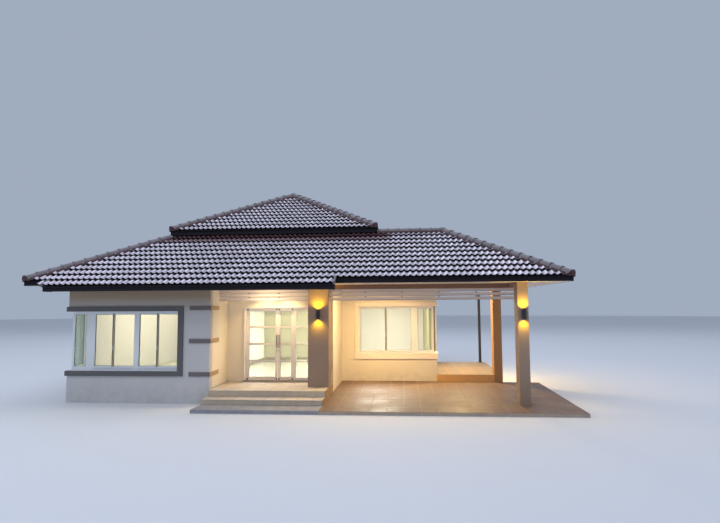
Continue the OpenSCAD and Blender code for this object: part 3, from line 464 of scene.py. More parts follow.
for finish, *nodes in (
        (GREY_RENDER, "wing_front_wall", "left_side_wall", "rear_wall"),
        (RIGHT_RENDER, "right_side_wall"),
        (BASE_RENDER, "house_floor_slab"),
        (LAMPLIT_CREAM_RENDER, "porch_side_wall", "door_lintel_wall", "carport_side_wall",
            "carport_back_wall"),
        (HALL_PAINT, "hall_partitions"),
        (BEAM_PAINT, "roof_beams"),
        (GROUT, "carport_slab"),
        (STEP_CORE, "entrance_steps"),
        (TERRACE_RENDER, "terrace_slab"),
        (TAUPE_RENDER, "porch_column", "carport_columns"),
        (TRIM_TAUPE, "window_surrounds"),
        (BAR_TAUPE, "accent_bars"),
        (WHITE_FRAME, "wing_window", "carport_window", "plain_windows"),
        (DOOR_PAINT, "entrance_frame", "main_leaf", "side_leaf"),
        (GLASS, "window_glass", "main_leaf_glass", "side_leaf_glass"),
        (GRANITE, "entrance_threshold"),
        (DARK_METAL, "terrace_post"),
        (SLAT, "louvres"),
        (SOFFIT, "ceiling_and_soffit"),
        (FASCIA, "lower_fascia", "upper_fascia")):
    for node in nodes:
        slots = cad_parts[node].data.materials
        slots.clear()
        slots.append(finish)


def new_object(name, data):
    ob = bpy.data.objects.new(name, data)
    bpy.context.scene.collection.objects.link(ob)
    return ob


def piece_from(name, bm, *materials):
    """Turns a bmesh into a finished object that rides on its body later."""
    me = bpy.data.meshes.new(name)
    bmesh.ops.recalc_face_normals(bm, faces=bm.faces)
    bm.to_mesh(me)
    bm.free()
    for m in materials:
        me.materials.append(m)
    return new_object(name, me)


def settle(ob, slot, *nodes, body=HOUSE):
    """Puts a finished piece on its body and hides the nodes it stands for; its slot is not used."""
    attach(ob, body)
    if nodes:
        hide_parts(*nodes)


def fit(name, bm, finish, slot, *nodes, body=HOUSE):
    """Makes a piece from a bmesh and settles it."""
    settle(piece_from(name, bm, finish), slot, *nodes, body=body)


def merged(name, obs):
    """Joins several plain meshes into one object."""
    first = obs[0]
    with bpy.context.temp_override(active_object=first, selected_editable_objects=obs):
        bpy.ops.object.join()
    first.name = first.data.name = name
    return first


def shape_object(name, bm):
    """A shape that a node tree repeats; it is removed once it has been used."""
    ob = piece_from(name, bm)
    ob.hide_render = True
    return ob


def solid_box(bm, lo, hi, bevel=0.0):
    """A box between two corners, with its edges eased."""
    lo, hi = Vector(lo), Vector(hi)
    made = bmesh.ops.create_cube(bm, size=1.0)["verts"]
    for v in made:
        v.co = v.co * (hi - lo) + (hi + lo) / 2
    if bevel:
        edges = list({e for v in made for e in v.link_edges})
        bmesh.ops.bevel(bm, geom=edges, offset=bevel, segments=1, affect="EDGES", profile=0.5)


def boxed(name, rows, bevel, finish, slot, body=HOUSE):
    """Settles a piece made of boxes, each given by two corners."""
    bm = bmesh.new()
    for lo, hi in rows:
        solid_box(bm, lo, hi, bevel)
    fit(name, bm, finish, slot, body=body)


def local_box(bm, at, lo, hi, bevel):
    """A box given in a frame of its own."""
    before = set(bm.verts)
    solid_box(bm, lo, hi, bevel)
    for v in set(bm.verts) - before:
        v.co = at @ v.co


def skin(bm, rings, ends=True):
    """Faces between rings of corners, one ring to the next, and over the first and last."""
    for a, b in zip(rings, rings[1:]):
        for i in range(len(a)):
            j = (i + 1) % len(a)
            bm.faces.new((a[i], b[i], b[j], a[j]))
    if ends:
        bm.faces.new(rings[0])
        bm.faces.new(rings[-1][::-1])


def lathe(bm, profile, at, steps=32):
    """Turns a profile of (radius, height) pairs into a closed body."""
    rings = []
    for r, z in profile:
        turns = [2 * pi * i / steps for i in range(steps if r > 0 else 1)]
        rings.append([bm.verts.new(at @ Vector((r * cos(a), r * sin(a), z)))
            for a in turns])
    if len(rings[0]) > 1 and len(rings[-1]) > 1:
        rings.append(rings[0])
    for a, b in zip(rings, rings[1:]):
        for i in range(steps if len(a) + len(b) > 2 else 0):
            j = (i + 1) % steps
            corners = (a[i % len(a)], a[j % len(a)], b[j % len(b)], b[i % len(b)])
            bm.faces.new(list(dict.fromkeys(corners)))


def clip(ob, point, outward):
    """Cuts away what lies past an upright plane, on its outward side, and closes the cuts."""
    bm = bmesh.new()
    bm.from_mesh(ob.data)
    whole = bm.verts[:] + bm.edges[:] + bm.faces[:]
    cut = bmesh.ops.bisect_plane(bm, geom=whole, dist=1e-5, plane_co=point, plane_no=outward,
        clear_outer=True)
    rim = [g for g in cut["geom_cut"] if isinstance(g, bmesh.types.BMEdge)]
    bmesh.ops.holes_fill(bm, edges=rim, sides=0)
    bm.to_mesh(ob.data)
    bm.free()


def frame_matrix(origin, x_axis, y_axis):
    m = Matrix((x_axis, y_axis, x_axis.cross(y_axis))).transposed().to_4x4()
    m.translation = origin
    return m


def laid_rows_tree():
    """Copies of a shape in rows and columns, each turned a little and given a tone of its own."""
    tree = bpy.data.node_groups.new("laid_rows", "GeometryNodeTree")
    tree.is_modifier = True
    face = tree.interface
    face.new_socket("Geometry", in_out="OUTPUT", socket_type="NodeSocketGeometry")
    for label, kind in (("Shape", "Object"), ("Columns", "Int"), ("Rows", "Int"),
            ("Column step", "Float"), ("Row step", "Float"), ("Unevenness", "Vector"),
            ("Seed", "Int"), ("Finish", "Material")):
        face.new_socket(label, in_out="INPUT", socket_type="NodeSocket" + kind)
    given = tree.nodes.new("NodeGroupInput").outputs

    def add(kind, feeds=None, **settings):
        return add_node(tree, kind, feeds or {}, settings)

    def calc(operation, *terms):
        return add("ShaderNodeMath", dict(enumerate(terms)), operation=operation)

    count = calc("MULTIPLY", given["Columns"], given["Rows"])
    line = add("GeometryNodeMeshLine", {"Count": count}, mode="OFFSET")
    index = add("GeometryNodeInputIndex")
    column = calc("MODULO", index, given["Columns"])
    row = calc("FLOOR", calc("DIVIDE", index, given["Columns"]))
    at = add("ShaderNodeCombineXYZ", {0: calc("MULTIPLY", column, given["Column step"]),
        1: calc("MULTIPLY", row, given["Row step"])})
    spots = add("GeometryNodeSetPosition", {0: line, "Position": at})
    low = add("ShaderNodeVectorMath", {0: given["Unevenness"], 1: (-1, -1, -1)},
        operation="MULTIPLY")
    turn = add("FunctionNodeRandomValue", {0: low, 1: given["Unevenness"],
        "Seed": given["Seed"]}, data_type="FLOAT_VECTOR")
    shape = add("GeometryNodeObjectInfo", {"Object": given["Shape"], "As Instance": True})
    copies = add("GeometryNodeInstanceOnPoints", {0: spots,
        "Instance": shape.outputs["Geometry"], "Rotation": turn})
    tone = add("FunctionNodeRandomValue", {"Seed": given["Seed"]}, data_type="FLOAT")
    kept = add("GeometryNodeStoreNamedAttribute", {0: copies, "Name": "tone",
        "Value": tone.outputs[1]}, data_type="FLOAT", domain="INSTANCE")
    real = add("GeometryNodeRealizeInstances", {0: kept})
    coated = add("GeometryNodeSetMaterial", {0: real, "Material": given["Finish"]})
    tree.links.new(coated.outputs[0], tree.nodes.new("NodeGroupOutput").inputs[0])
    return tree


LAID_ROWS = laid_rows_tree()


def laid(name, *values):
    """Evaluates the tree once with its named inputs, in their order, and gives the plain mesh,
    at the origin and along X and Y."""
    ob = new_object(name, bpy.data.meshes.new(name))
    mod = ob.modifiers.new("laid_rows", "NODES")
    mod.node_group = LAID_ROWS
    inputs = [s for s in LAID_ROWS.interface.items_tree if s.in_out == "INPUT"]
    for socket, value in zip(inputs, values):
        mod[socket.identifier] = value
    graph = bpy.context.evaluated_depsgraph_get()
    plain = bpy.data.meshes.new_from_object(ob.evaluated_get(graph),
        preserve_all_data_layers=True, depsgraph=graph)
    ob.modifiers.remove(mod)
    ob.data = plain
    ob.data.name = name
    return ob


# Roof tiles

def wave_tile():
    """One tile: nose at the origin, head up the slope, waving across, lapped and tilted. Each
    point of its side line has a place up the slope, a height and a share of the painted shade of nose and
    lap."""
    length = GAUGE + TILE_LAP
    nose, lip = 0.004, 0.022
    side_line = ((length, -TILE_T, 0.0), (lip, -TILE_T, 0.0), (0.0, -TILE_T - lip, 1.0),
        (0.0, -nose, 1.0), (nose, 0.0, 0.5), (0.02, 0.0, 0.0), (GAUGE - 0.12, 0.0, 0.0),
        (GAUGE - 0.07, 0.0, 1.0), (length, 0.0, 1.0))
    bm = bmesh.new()
    crest_light = bm.verts.layers.float.new("crest_light")
    lap_shade = bm.verts.layers.float.new("lap_shade")
    steps = 2 * WAVE_STEPS
    rings = []
    for i in range(steps + 1):
        x = (TILE_W - 0.002) * i / steps
        turn = 2 * pi * (x / WAVE - 0.25)
        swell = WAVE_H * (cos(turn) + 0.22 * cos(2 * turn))
        ring = []
        for up, height, dark in side_line:
            v = bm.verts.new((x, up, swell + height - TILE_LIFT / GAUGE * up))
            # painted light across each wave: brightest on one flank beside the crest, lowest in the trough
            v[crest_light] = 0.5 + 0.5 * cos(turn + 0.6)
            v[lap_shade] = dark
            ring.append(v)
        rings.append(ring)
    skin(bm, rings)
    return shape_object("tile_shape", bm)


TILE_SHAPE = wave_tile()


def tile_field(name, corner, along, inward, width, courses, seed, cuts, first=0):
    """Tiles on one slope: corner at the left end of the eave, seen from outside."""
    up = (inward + RISE * Z) / STEEP
    field = laid(name, TILE_SHAPE, ceil(width / TILE_W), courses, TILE_W, GAUGE, TILE_TURN,
        seed, ROOF_TILE)
    start = corner + up * (first * GAUGE + TILE_START)
    field.data.transform(frame_matrix(start, along, up))
    for point, outward in cuts:
        clip(field, point, outward.normalized())
    return field


def lower_tiles():
    """The six slopes of the lower tier, cut at their hips, at the valley and at the curb."""
    gap = (X - Y).normalized() * VALLEY_GAP
    curb_left, curb_right, curb_rear = X * CURB_L, X * CURB_R, Y * CURB_B
    right_corner = Vector((EDGE_R, CURB_F, EDGE_Z))
    fields = (
        ("lower_front", FL, X, Y, PORT_R - EDGE_L, ((FL, Y - X), (FR, X + Y), (VALLEY_TOP, Y))),
        ("lower_left", BL, -Y, X, EDGE_B - EDGE_F, ((FL, X - Y), (BL, X + Y), (curb_left, X))),
        ("lower_rear", BR, -X, -Y, EDGE_R - EDGE_L,
            ((BL, -X - Y), (BR, X - Y), (curb_rear, -Y))),
        ("lower_right", right_corner, Y, -X, EDGE_B - CURB_F,
            ((VALLEY_TOP - gap, X - Y), (BR, Y - X), (curb_right, -X))),
        ("carport_rear", PR, -X, -Y, PORT_R - VALLEY_TOP.x,
            ((VALLEY_TOP + gap, Y - X), (PR, X - Y), (VALLEY_TOP, -Y))),
        ("carport_end", FR, Y, -X, PORT_B - EDGE_F, ((FR, -X - Y), (PR, Y - X))),
    )
    for seed, (slope, corner, along, inward, width, cuts) in enumerate(fields, 11):
        settle(tile_field("tiles_" + slope, corner, along, inward, width, LOWER_COURSES, seed,
            cuts), "roof_tile", slope + "_slope")


def upper_tiles():
    """Four slopes of the upper tier, joined as one piece."""
    sides = []
    for seed, (a, b) in enumerate(zip(UPPER, UPPER[1:] + UPPER[:1]), 31):
        along = (b - a).normalized()
        inward = Z.cross(along)
        sides.append(tile_field("tiles_upper_side", a, along, inward, 2 * TOP_HALF,
            UPPER_COURSES, seed, ((a, inward - along), (b, inward + along))))
    settle(merged("tiles_upper_roof", sides), "roof_tile", "upper_roof")


def slope_board(bm, plan, height):
    """Boarding under the tiles: a thin sheet below the slope's own plane."""
    skin(bm, [[bm.verts.new((p[0], p[1], height(p) - drop)) for p in plan]
        for drop in (SLOPE_T + 0.001, SLOPE_T + 0.008)])


def boards(name, rows, base):
    """Boarding of one tier. A row has its plan, and the axis, the edge and the way it climbs."""
    bm = bmesh.new()
    for plan, axis, edge, way in rows:
        slope_board(bm, plan, lambda p: base + RISE * way * (p[axis] - edge))
    fit(name, bm, UNDERLAY, "fascia")


def boarding():
    """Boards under every slope, seen at the eaves and where the tiers meet."""
    curb_fl, curb_fr = (CURB_L, CURB_F), (CURB_R, CURB_F)
    curb_bl, curb_br = (CURB_L, CURB_B), (CURB_R, CURB_B)
    valley_foot = (EDGE_R, PORT_B)
    boards("lower_roof_boards", (
        ((FL, FR, RIDGE_END, curb_fl), 1, EDGE_F, 1),
        ((FL, curb_fl, curb_bl, BL), 0, EDGE_L, 1),
        ((BL, curb_bl, curb_br, BR), 1, EDGE_B, -1),
        ((valley_foot, BR, curb_br, curb_fr), 0, EDGE_R, -1),
        ((curb_fr, RIDGE_END, PR, valley_foot), 1, PORT_B, -1),
        ((FR, PR, RIDGE_END), 0, PORT_R, -1)), EDGE_Z)
    climbs = ((1, UPPER[0].y, 1), (0, UPPER[1].x, -1), (1, UPPER[2].y, -1), (0, UPPER[3].x, 1))
    boards("upper_roof_boards", [((UPPER[i], UPPER[(i + 1) % 4], MID), *climbs[i])
        for i in range(4)], TOP_Z)


def valley():
    """Folded metal in the valley, under the cut ends of the tiles."""
    half, sunk, turned_up, thick = 0.14, 0.018, 0.006, 0.0015
    low = Vector((EDGE_R, PORT_B, EDGE_Z))
    along = (VALLEY_TOP - low).normalized()
    side = (X - Y).normalized()
    lift = RISE * sqrt(0.5)
    fold = [(half * t, abs(half * t) * lift - sunk + (turned_up if abs(t) == 1 else 0.0))
        for t in (-1.0, -0.9, 0.0, 0.9, 1.0)]
    bm = bmesh.new()
    ends = []
    for at in (low + along * 0.01, VALLEY_TOP - along * 0.02):
        top, bottom = ([bm.verts.new(at + side * x + Z * (z - drop)) for x, z in fold]
            for drop in (0.0, thick))
        ends.append(top + bottom[::-1])
    skin(bm, ends)
    fit("valley_strip", bm, VALLEY_METAL, "dark_metal")


# Caps on the hips and ridges

def cap_shape():
    """One half-round cap tile along +Y with a thicker collar at its lower end."""
    steps = 10
    turns = [radians(-8 + 196 * i / steps) for i in range(steps + 1)]
    bm = bmesh.new()
    rings = []
    for y, swell in ((0.0, 1.08), (0.006, 1.15), (0.045, 1.15), (0.056, 1.0), (CAP_LEN, 0.93)):
        outer, inner = ([bm.verts.new((r * cos(a), y, r * CAP_SQUAT * sin(a)))
            for a in turns] for r in (CAP_R * swell, CAP_R * swell - CAP_T))
        rings.append(outer + inner[::-1])
    skin(bm, rings, ends=False)
    for end in (rings[0], rings[-1]):
        for i in range(steps):
            bm.faces.new((end[i], end[i + 1], end[-2 - i], end[-1 - i]))
    return shape_object("cap_shape", bm)


CAP_SHAPE = cap_shape()


def cap_run(name, low, high, seed):
    """Caps from the low end to the high end of a hip or ridge, on a bed of mortar."""
    length = (high - low).length
    along = (high - low).normalized()
    side = along.cross(Z).normalized()
    up = side.cross(along)
    start = low - up * CAP_SINK
    count = ceil((length - CAP_LEN) / CAP_STEP) + 1
    caps = laid(name, CAP_SHAPE, 1, count, 1.0, (length - CAP_LEN) / (count - 1), CAP_TURN,
        seed, RIDGE_TILE)
    caps.data.transform(frame_matrix(start, side, along))

    def mortar(label, rings):
        bm = bmesh.new()
        skin(bm, [[bm.verts.new(start + along * d + side * x + up * z) for x, z in ring]
            for d, ring in rings])
        return piece_from(name + label, bm, BEDDING)

    arch = [(CAP_R * cos(pi * i / 10), CAP_R * CAP_SQUAT * sin(pi * i / 10))
        for i in range(11)] + [(0.0, -0.05)]
    dome = mortar("_dome", [(d, [(x * f, z * f) for x, z in arch]) for d, f in BED_DOME])
    bed = mortar("_bed", [(d, BED_LINE) for d in (0.03, length - 0.012)])
    return [caps, dome, bed]


def hip_run(corner, sx, sy, stop, seed):
    """Caps up a hip that climbs inwards from a corner, cut flush with both eaves."""
    low, high = (corner + Vector((sx * run, sy * run, RISE * run)) for run in (CAP_START, stop))
    pieces = cap_run("hip", low, high, seed)
    for ob in pieces:
        clip(ob, corner, -sx * X)
        clip(ob, corner, -sy * Y)
    return pieces


def cover(name, at, radius, height):
    """A low rounded cover where caps meet."""
    bm = bmesh.new()
    bmesh.ops.create_uvsphere(bm, u_segments=20, v_segments=10, radius=1.0)
    for v in bm.verts:
        v.co = Vector((v.co.x * radius, v.co.y * radius, max(v.co.z, -0.35) * height)) + at
    bmesh.ops.remove_doubles(bm, verts=bm.verts, dist=1e-5)
    return piece_from(name, bm, RIDGE_TILE)


def caps():
    to_wall = (EDGE_R - EDGE_L) / 2 - TOP_HALF + 0.03
    to_ridge = CURB_RUN - 0.02
    lower = []
    for seed, hip in enumerate(((FL, 1, 1, to_wall), (BL, 1, -1, to_wall), (BR, -1, -1, to_wall),
            (FR, -1, 1, to_ridge), (PR, -1, -1, to_ridge)), 41):
        lower += hip_run(*hip, seed)
    wall_end = Vector((MID.x + TOP_HALF - 0.03, CURB_F, RIDGE_END.z))
    lower += cap_run("ridge", RIDGE_END, wall_end, 46)
    lower.append(cover("joint_cover", RIDGE_END - 0.02 * Z, 0.14, 0.105))
    settle(merged("caps_lower_roof", lower), "ridge_tile", "lower_ridge_caps")
    upper = []
    for seed, (corner, (sx, sy)) in enumerate(zip(UPPER, SQUARE), 51):
        upper += hip_run(corner, -sx, -sy, TOP_HALF - 0.06, seed)
    upper.append(cover("top_cover", MID + Z * (APEX_Z - 0.03), 0.15, 0.10))
    settle(merged("caps_upper_roof", upper), "ridge_tile", "upper_ridge_caps")


def front_eave():
    """The extra course over the wing and porch: boxed eave, soffit and one row of tiles."""
    left, right, face, low = ext_lo.x + OVER, ext_hi.x - OVER, ext_lo.y + OVER, ext_lo.z
    inner, back, edge = face + FASCIA_T, EDGE_F + OVER, ext_lo.y + 0.01

    def slope_z(y):
        return EDGE_Z + RISE * (y - EDGE_F)

    bm = bmesh.new()
    solid_box(bm, (left, face, low), (right, inner, slope_z(face) - SLOPE_T), 0.003)
    side = ((inner, low), (back, low), (back, slope_z(EDGE_F) - 0.07),
        (inner, slope_z(face) - 0.07))
    for ends in ((left, left + FASCIA_T), (right - FASCIA_T, right)):
        skin(bm, [[bm.verts.new((x, y, z)) for y, z in side] for x in ends])
    fit("front_eave_fascia", bm, FASCIA, "fascia")
    boxed("front_eave_soffit", (((left + FASCIA_T, inner, low + 0.012),
        (right - FASCIA_T, back, low + 0.022)),), 0.001, SOFFIT, "soffit")
    bm = bmesh.new()
    slope_board(bm, ((left, edge), (right, edge), (right, EDGE_F), (left, EDGE_F)),
        lambda p: slope_z(p[1]))
    board = piece_from("front_eave_board", bm, UNDERLAY)
    start = EDGE_L + TILE_W * ceil((ext_lo.x - EDGE_L) / TILE_W - 0.5)
    field = tile_field("course", Vector((start, EDGE_F, EDGE_Z)), X, Y, ext_hi.x - start, 1, 61,
        ((ext_hi.x * X, X),), first=-1)
    settle(merged("tiles_front_course", [field, board]), "roof_tile", "front_eave_extension")
    bm = bmesh.new()
    up = (Y + RISE * Z) / STEEP
    foot, half = ext_lo.y + 0.004, 0.022
    long = (EDGE_F - ext_lo.y) * STEEP
    for x in (ext_lo.x + half, ext_hi.x - half):
        at = frame_matrix(Vector((x, foot, slope_z(foot))), X, up)
        local_box(bm, at, (-half, 0.0, -0.060), (half, long - 0.02, 0.030), 0.012)
    fit("course_verges", bm, RIDGE_TILE, "roof_tile")


# Floors

def stone_shape(name, size, long_joint, cross_joint):
    """One floor tile with eased top edges, its corner at the origin."""
    bm = bmesh.new()
    solid_box(bm, (long_joint / 2, cross_joint / 2, 0),
        (size - long_joint / 2, size - cross_joint / 2, STONE_T))
    rim = [e for e in bm.edges if all(v.co.z > STONE_T / 2 for v in e.verts)]
    bmesh.ops.bevel(bm, geom=rim, offset=0.0012, segments=1, affect="EDGES", profile=0.5)
    return shape_object(name, bm)


OUTER = (stone_shape("stone_shape", STONE, 0.014, 0.006), STONE)
INNER = (stone_shape("inner_stone_shape", INNER_STONE, 0.004, 0.004), INNER_STONE)


def stones(name, lo, hi, z, finish, seed, kind=OUTER, slope=0.0):
    """Tiles over a rectangle, cut at its edges; slope lifts them towards the rear."""
    shape, size = kind
    columns, rows = (ceil((hi[i] - lo[i]) / size - 0.01) for i in (0, 1))
    field = laid(name, shape, columns, rows, size, size, STONE_TURN, seed, finish)
    up = Vector((0, 1, slope)).normalized()
    field.data.transform(frame_matrix(Vector((lo[0], lo[1], z)), X, up))
    clip(field, hi[0] * X, X)
    clip(field, hi[1] * Y, Y)
    return field


def outdoor_floors():
    lo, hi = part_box("carport_slab")
    terrace_lo, terrace_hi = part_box("terrace_slab")
    fall = CARPORT_FALL / (hi.y - lo.y)
    low_z = hi.z - CARPORT_FALL
    front = stones("carport_tiles", lo, (hi.x, terrace_lo.y), low_z, FLOOR_STONE, 71, slope=fall)
    strip = stones("carport_tiles_rear", (lo.x, terrace_lo.y), (terrace_lo.x, hi.y),
        low_z + fall * (terrace_lo.y - lo.y), FLOOR_STONE, 72, slope=fall)
    settle(merged("carport_tiles", [front, strip]), "floor_tile")
    settle(stones("terrace_tiles", terrace_lo, terrace_hi, terrace_hi.z, TERRACE_STONE, 73),
        "floor_tile")
    lo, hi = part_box("entrance_steps")
    treads, risers, nosings = [], [], []
    for seed, (y0, y1, z, foot) in enumerate(STEP_RUNS, 74):
        treads.append(stones("step_tiles", (lo.x, y0), (hi.x, y1), z, STEP_STONE, seed))
        for c in range(ceil((hi.x - lo.x) / STONE)):
            x0 = lo.x + c * STONE
            risers.append(((x0 + JOINT / 2, y0 - 0.006, foot + 0.006),
                (min(x0 + STONE, hi.x) - JOINT / 2, y0, z - 0.012)))
        nosings.append(((lo.x, y0 - 0.016, z - 0.012), (hi.x, y0 + 0.02, z + 0.007)))
    apron = ((lo.x, lo.y, APRON_Z - 0.004), (hi.x, STEP_RUNS[-1][0] + 0.02, APRON_Z + 0.006))
    boxed("step_apron", (apron,), 0.003, APRON_CEMENT, "floor_tile")
    settle(merged("step_tiles", treads), "floor_tile")
    boxed("step_risers", risers, 0.001, STEP_RENDER, "floor_tile")
    boxed("step_nosings", nosings, 0.005, STEP_STONE, "floor_tile")


def indoor_floors():
    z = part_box("house_floor_slab")[1].z
    zones = (((ROOM_L, ROOM_F), (WING_R, PORCH_B)), ((ROOM_L, PORCH_B), (PART_L, HALL_F)),
        ((ROOM_L, HALL_F), (HALL_R, SIDE_F)), ((ROOM_L, SIDE_F), (ROOM_R, ROOM_B)))
    rows = [stones("room_tiles", lo, hi, z, HALL_STONE, seed, INNER)
        for seed, (lo, hi) in enumerate(zones, 81)]
    settle(merged("room_tiles", rows), "floor_tile")
    t = SKIRTING_T
    hall = ((HALL_L, HALL_F, HALL_L + t, HALL_B), (HALL_L, HALL_B - t, HALL_R, HALL_B),
        (HALL_R - t, HALL_F, HALL_R, SIDE_F))
    rooms = ((ROOM_L, ROOM_F, ROOM_L + t, ROOM_B), (PART_L - t, WING_B, PART_L, PART_B),
        (ROOM_L, ROOM_B - t, ROOM_R, ROOM_B), (ROOM_R - t, SIDE_F, ROOM_R, ROOM_B),
        (PART_L, PART_B, HALL_R, PART_B + t), (ROOM_L, ROOM_F, WING_R, ROOM_F + t),
        (WING_R - t, ROOM_F, WING_R, WING_B), (SIDE_L, SIDE_F, ROOM_R, SIDE_F + t))
    for name, runs, finish in (("hall_skirting", hall, SKIRTING),
            ("room_skirting", rooms, HALL_STONE)):
        boxed(name, [((x0, y0, z), (x1, y1, z + SKIRTING_H)) for x0, y0, x1, y1 in runs], 0.003,
            finish, "floor_tile")


# Windows

def ring(bm, at, light, grow, width, y0, y1):
    """A rectangular frame round a light, placed by a matrix; grow moves its inner edge out."""
    def loop(by, y):
        x0, x1, z0, z1 = light[0] - by, light[1] + by, light[2] - by, light[3] + by
        return [bm.verts.new(at @ Vector(p))
            for p in ((x0, y, z0), (x1, y, z0), (x1, y, z1), (x0, y, z1))]
    loops = [loop(grow, y0), loop(grow, y1), loop(grow + width, y1), loop(grow + width, y0)]
    skin(bm, loops + loops[:1], ends=False)


def wall_frame(x, y, degrees):
    return Matrix.Translation((x, y, 0)) @ Matrix.Rotation(radians(degrees), 4, "Z")


def window_lights():
    """Every window: its kind, its frame matrix, its sliding pairs and its fixed lights. A light
    is its left, right, lower and upper edge in the plane of the wall."""
    depth, meet, inset = 0.06, 0.044, 0.08
    rows = []

    def halves(x, w, left=0.0):
        mid = x + w / 2 - left
        return (x, mid - meet / 2, z0, z1), (mid + meet / 2, x + w, z0, z1)

    corner_light, corner_mullion, mullion, edge, off_middle = 0.325, 0.245, 0.14, 0.02, 0.04
    lo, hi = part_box("wing_window")
    z0, z1 = lo.z + 0.12, hi.z - 0.08
    glass0 = lo.x + depth
    first = glass0 + corner_light + corner_mullion
    pair = (hi.x - edge - first - mullion) / 2
    rows.append(("wing", wall_frame(0, lo.y, 0),
        [halves(x, pair, off_middle) for x in (first, first + pair + mullion)],
        [(glass0, glass0 + corner_light, z0, z1)]))
    rows.append(("wing", wall_frame(lo.x, 0, -90), [], [(-(hi.y - depth), -glass0, z0, z1)]))

    corner_light, corner_mullion, edge = 0.445, 0.215, 0.055
    lo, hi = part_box("carport_window")
    z0, z1 = lo.z + 0.08, hi.z - 0.07
    corner = hi.x - depth
    start = lo.x + edge
    width = corner - corner_light - corner_mullion - start
    rows.append(("carport", wall_frame(0, lo.y, 0), [halves(start, width)],
        [(corner - corner_light, corner, z0, z1)]))
    rows.append(("carport", wall_frame(hi.x, 0, 90), [], [(lo.y + depth, hi.y - depth, z0, z1)]))

    half, meet = 0.71, 0.07
    lo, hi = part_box("plain_windows")
    z0, z1 = lo.z + 0.06, hi.z - 0.06
    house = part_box("house_floor_slab")[1]
    for at, mid in ((wall_frame(inset, 0, -90), -0.735 * house.y),
            (wall_frame(house.x - inset, 0, 90), 0.677 * house.y),
            (wall_frame(0, house.y - inset, 180), -0.2 * house.x),
            (wall_frame(0, house.y - inset, 180), -0.55 * house.x)):
        rows.append(("plain", at, [halves(mid - half, 2 * half)], []))
    return rows


def window_parts():
    """Sashes in two planes, gaskets round each pane, tracks, catches and meeting stiles."""
    groups = {kind: [bmesh.new() for _ in range(4)] for kind in ("wing", "carport", "plain")}
    for kind, at, pairs, fixed in window_lights():
        sash, rubber, catch, stile = groups[kind]
        for light in fixed:
            ring(rubber, at, light, -0.007, 0.007, 0.018, 0.042)
            ring(sash, at, light, 0.004, 0.014, -0.004, 0.002)
        for left, right in pairs:
            foot, head = left[2:]
            mid = (left[1] + right[0]) / 2
            ring(sash, at, left, -0.012, 0.012, 0.040, 0.058)
            for light in (left, right):
                ring(rubber, at, light, -0.006, 0.006, 0.018, 0.039)
            track = left[0] - 0.02, right[1] + 0.02, -0.018, 0.0
            for bm, x0, x1, y0, y1, z0, z1, bevel in (
                    (stile, left[1] + 0.004, right[0] - 0.002, -0.014, 0.001, -0.02,
                        head - foot + 0.02, 0.003),
                    (sash, *track, -0.045, -0.039, 0.0015),
                    (sash, *track, -0.063, -0.057, 0.0015),
                    (catch, mid - 0.012, mid + 0.012, -0.030, -0.012, 0.42, 0.54, 0.004),
                    (catch, mid - 0.005, mid + 0.02, -0.042, -0.030, 0.45, 0.475, 0.004),
                    (sash, left[0] - 0.030, left[0] - 0.008, -0.012, 0.001, 0.02, 0.30, 0.004)):
                local_box(bm, at, (x0, y0, foot + z0), (x1, y1, foot + z1), bevel)
    for kind, made in groups.items():
        for bm, part, finish, slot in zip(made,
                ("_sashes", "_gaskets", "_catches", "_meeting_stiles"),
                (WHITE_FRAME, RUBBER, STEEL, STILE),
                ("white_frame", "dark_metal", "white_frame", "white_frame")):
            fit(kind + part, bm, finish, slot)


# Entrance

def door_parts():
    """Glazing beads, rubber and fittings for both leaves, on the leaves' own bodies, and the
    trim of the reveal."""
    still = Matrix.Identity(4)
    for leaf, way in (("main_leaf", 1), ("side_leaf", -1)):
        lo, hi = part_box(leaf + "_glass")
        hinge, meet = (lo.x, hi.x)[::way]
        hinge, meet = hinge - way * 0.03, meet + way * 0.028
        mid_y = (lo.y + hi.y) / 2
        face = mid_y - HALF_LEAF
        lite = (hi.z - lo.z - 3 * BAR) / 4
        bead, rubber, plate = (bmesh.new() for _ in range(3))
        for i in range(4):
            z = lo.z + i * (lite + BAR)
            light = (lo.x, hi.x, z, z + lite)
            for side in (-1, 1):
                for bm, width, near, far in ((bead, 0.010, 0.014, 0.022),
                        (rubber, 0.013, 0.004, 0.014)):
                    y0, y1 = sorted((mid_y + side * near, mid_y + side * far))
                    ring(bm, still, light, -width, width, y0, y1)
        fit(leaf + "_beads", bead, DOOR_PAINT, "white_frame", body=leaf)
        fit(leaf + "_rubber", rubber, RUBBER, "dark_metal", body=leaf)
        boxed(leaf + "_fittings", [((x - 0.02, face - 0.006, z), (x + 0.02, face, z + 0.042))
            for x in (meet, hinge) for z in (hi.z + 0.018, lo.z - 0.060)], 0.003, DARK_METAL,
            "dark_metal", leaf)
        solid_box(plate, (meet - 0.019, face - 0.005, PLATE_LOW),
            (meet + 0.019, face, PLATE_HIGH), 0.004)
        lathe(plate, ((0.0, 0.016), (0.010, 0.016), (0.013, 0.013), (0.013, 0.0), (0.0, 0.0)),
            frame_matrix(Vector((meet, face, LOCK_Z)), X, Z), 20)
        fit(leaf + "_pull_plate", plate, BRONZE, "white_frame", body=leaf)
    lo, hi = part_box("entrance_frame")
    t = 0.012
    rows = [((x - t, lo.y - 0.10, lo.z), (x + t, lo.y, hi.z + t)) for x in (lo.x, hi.x)]
    rows.append(((lo.x + t, lo.y - 0.10, hi.z - t), (hi.x - t, lo.y, hi.z + t)))
    boxed("entrance_reveal_trim", rows, 0.003, DOOR_PAINT, "white_frame")


# Lamps

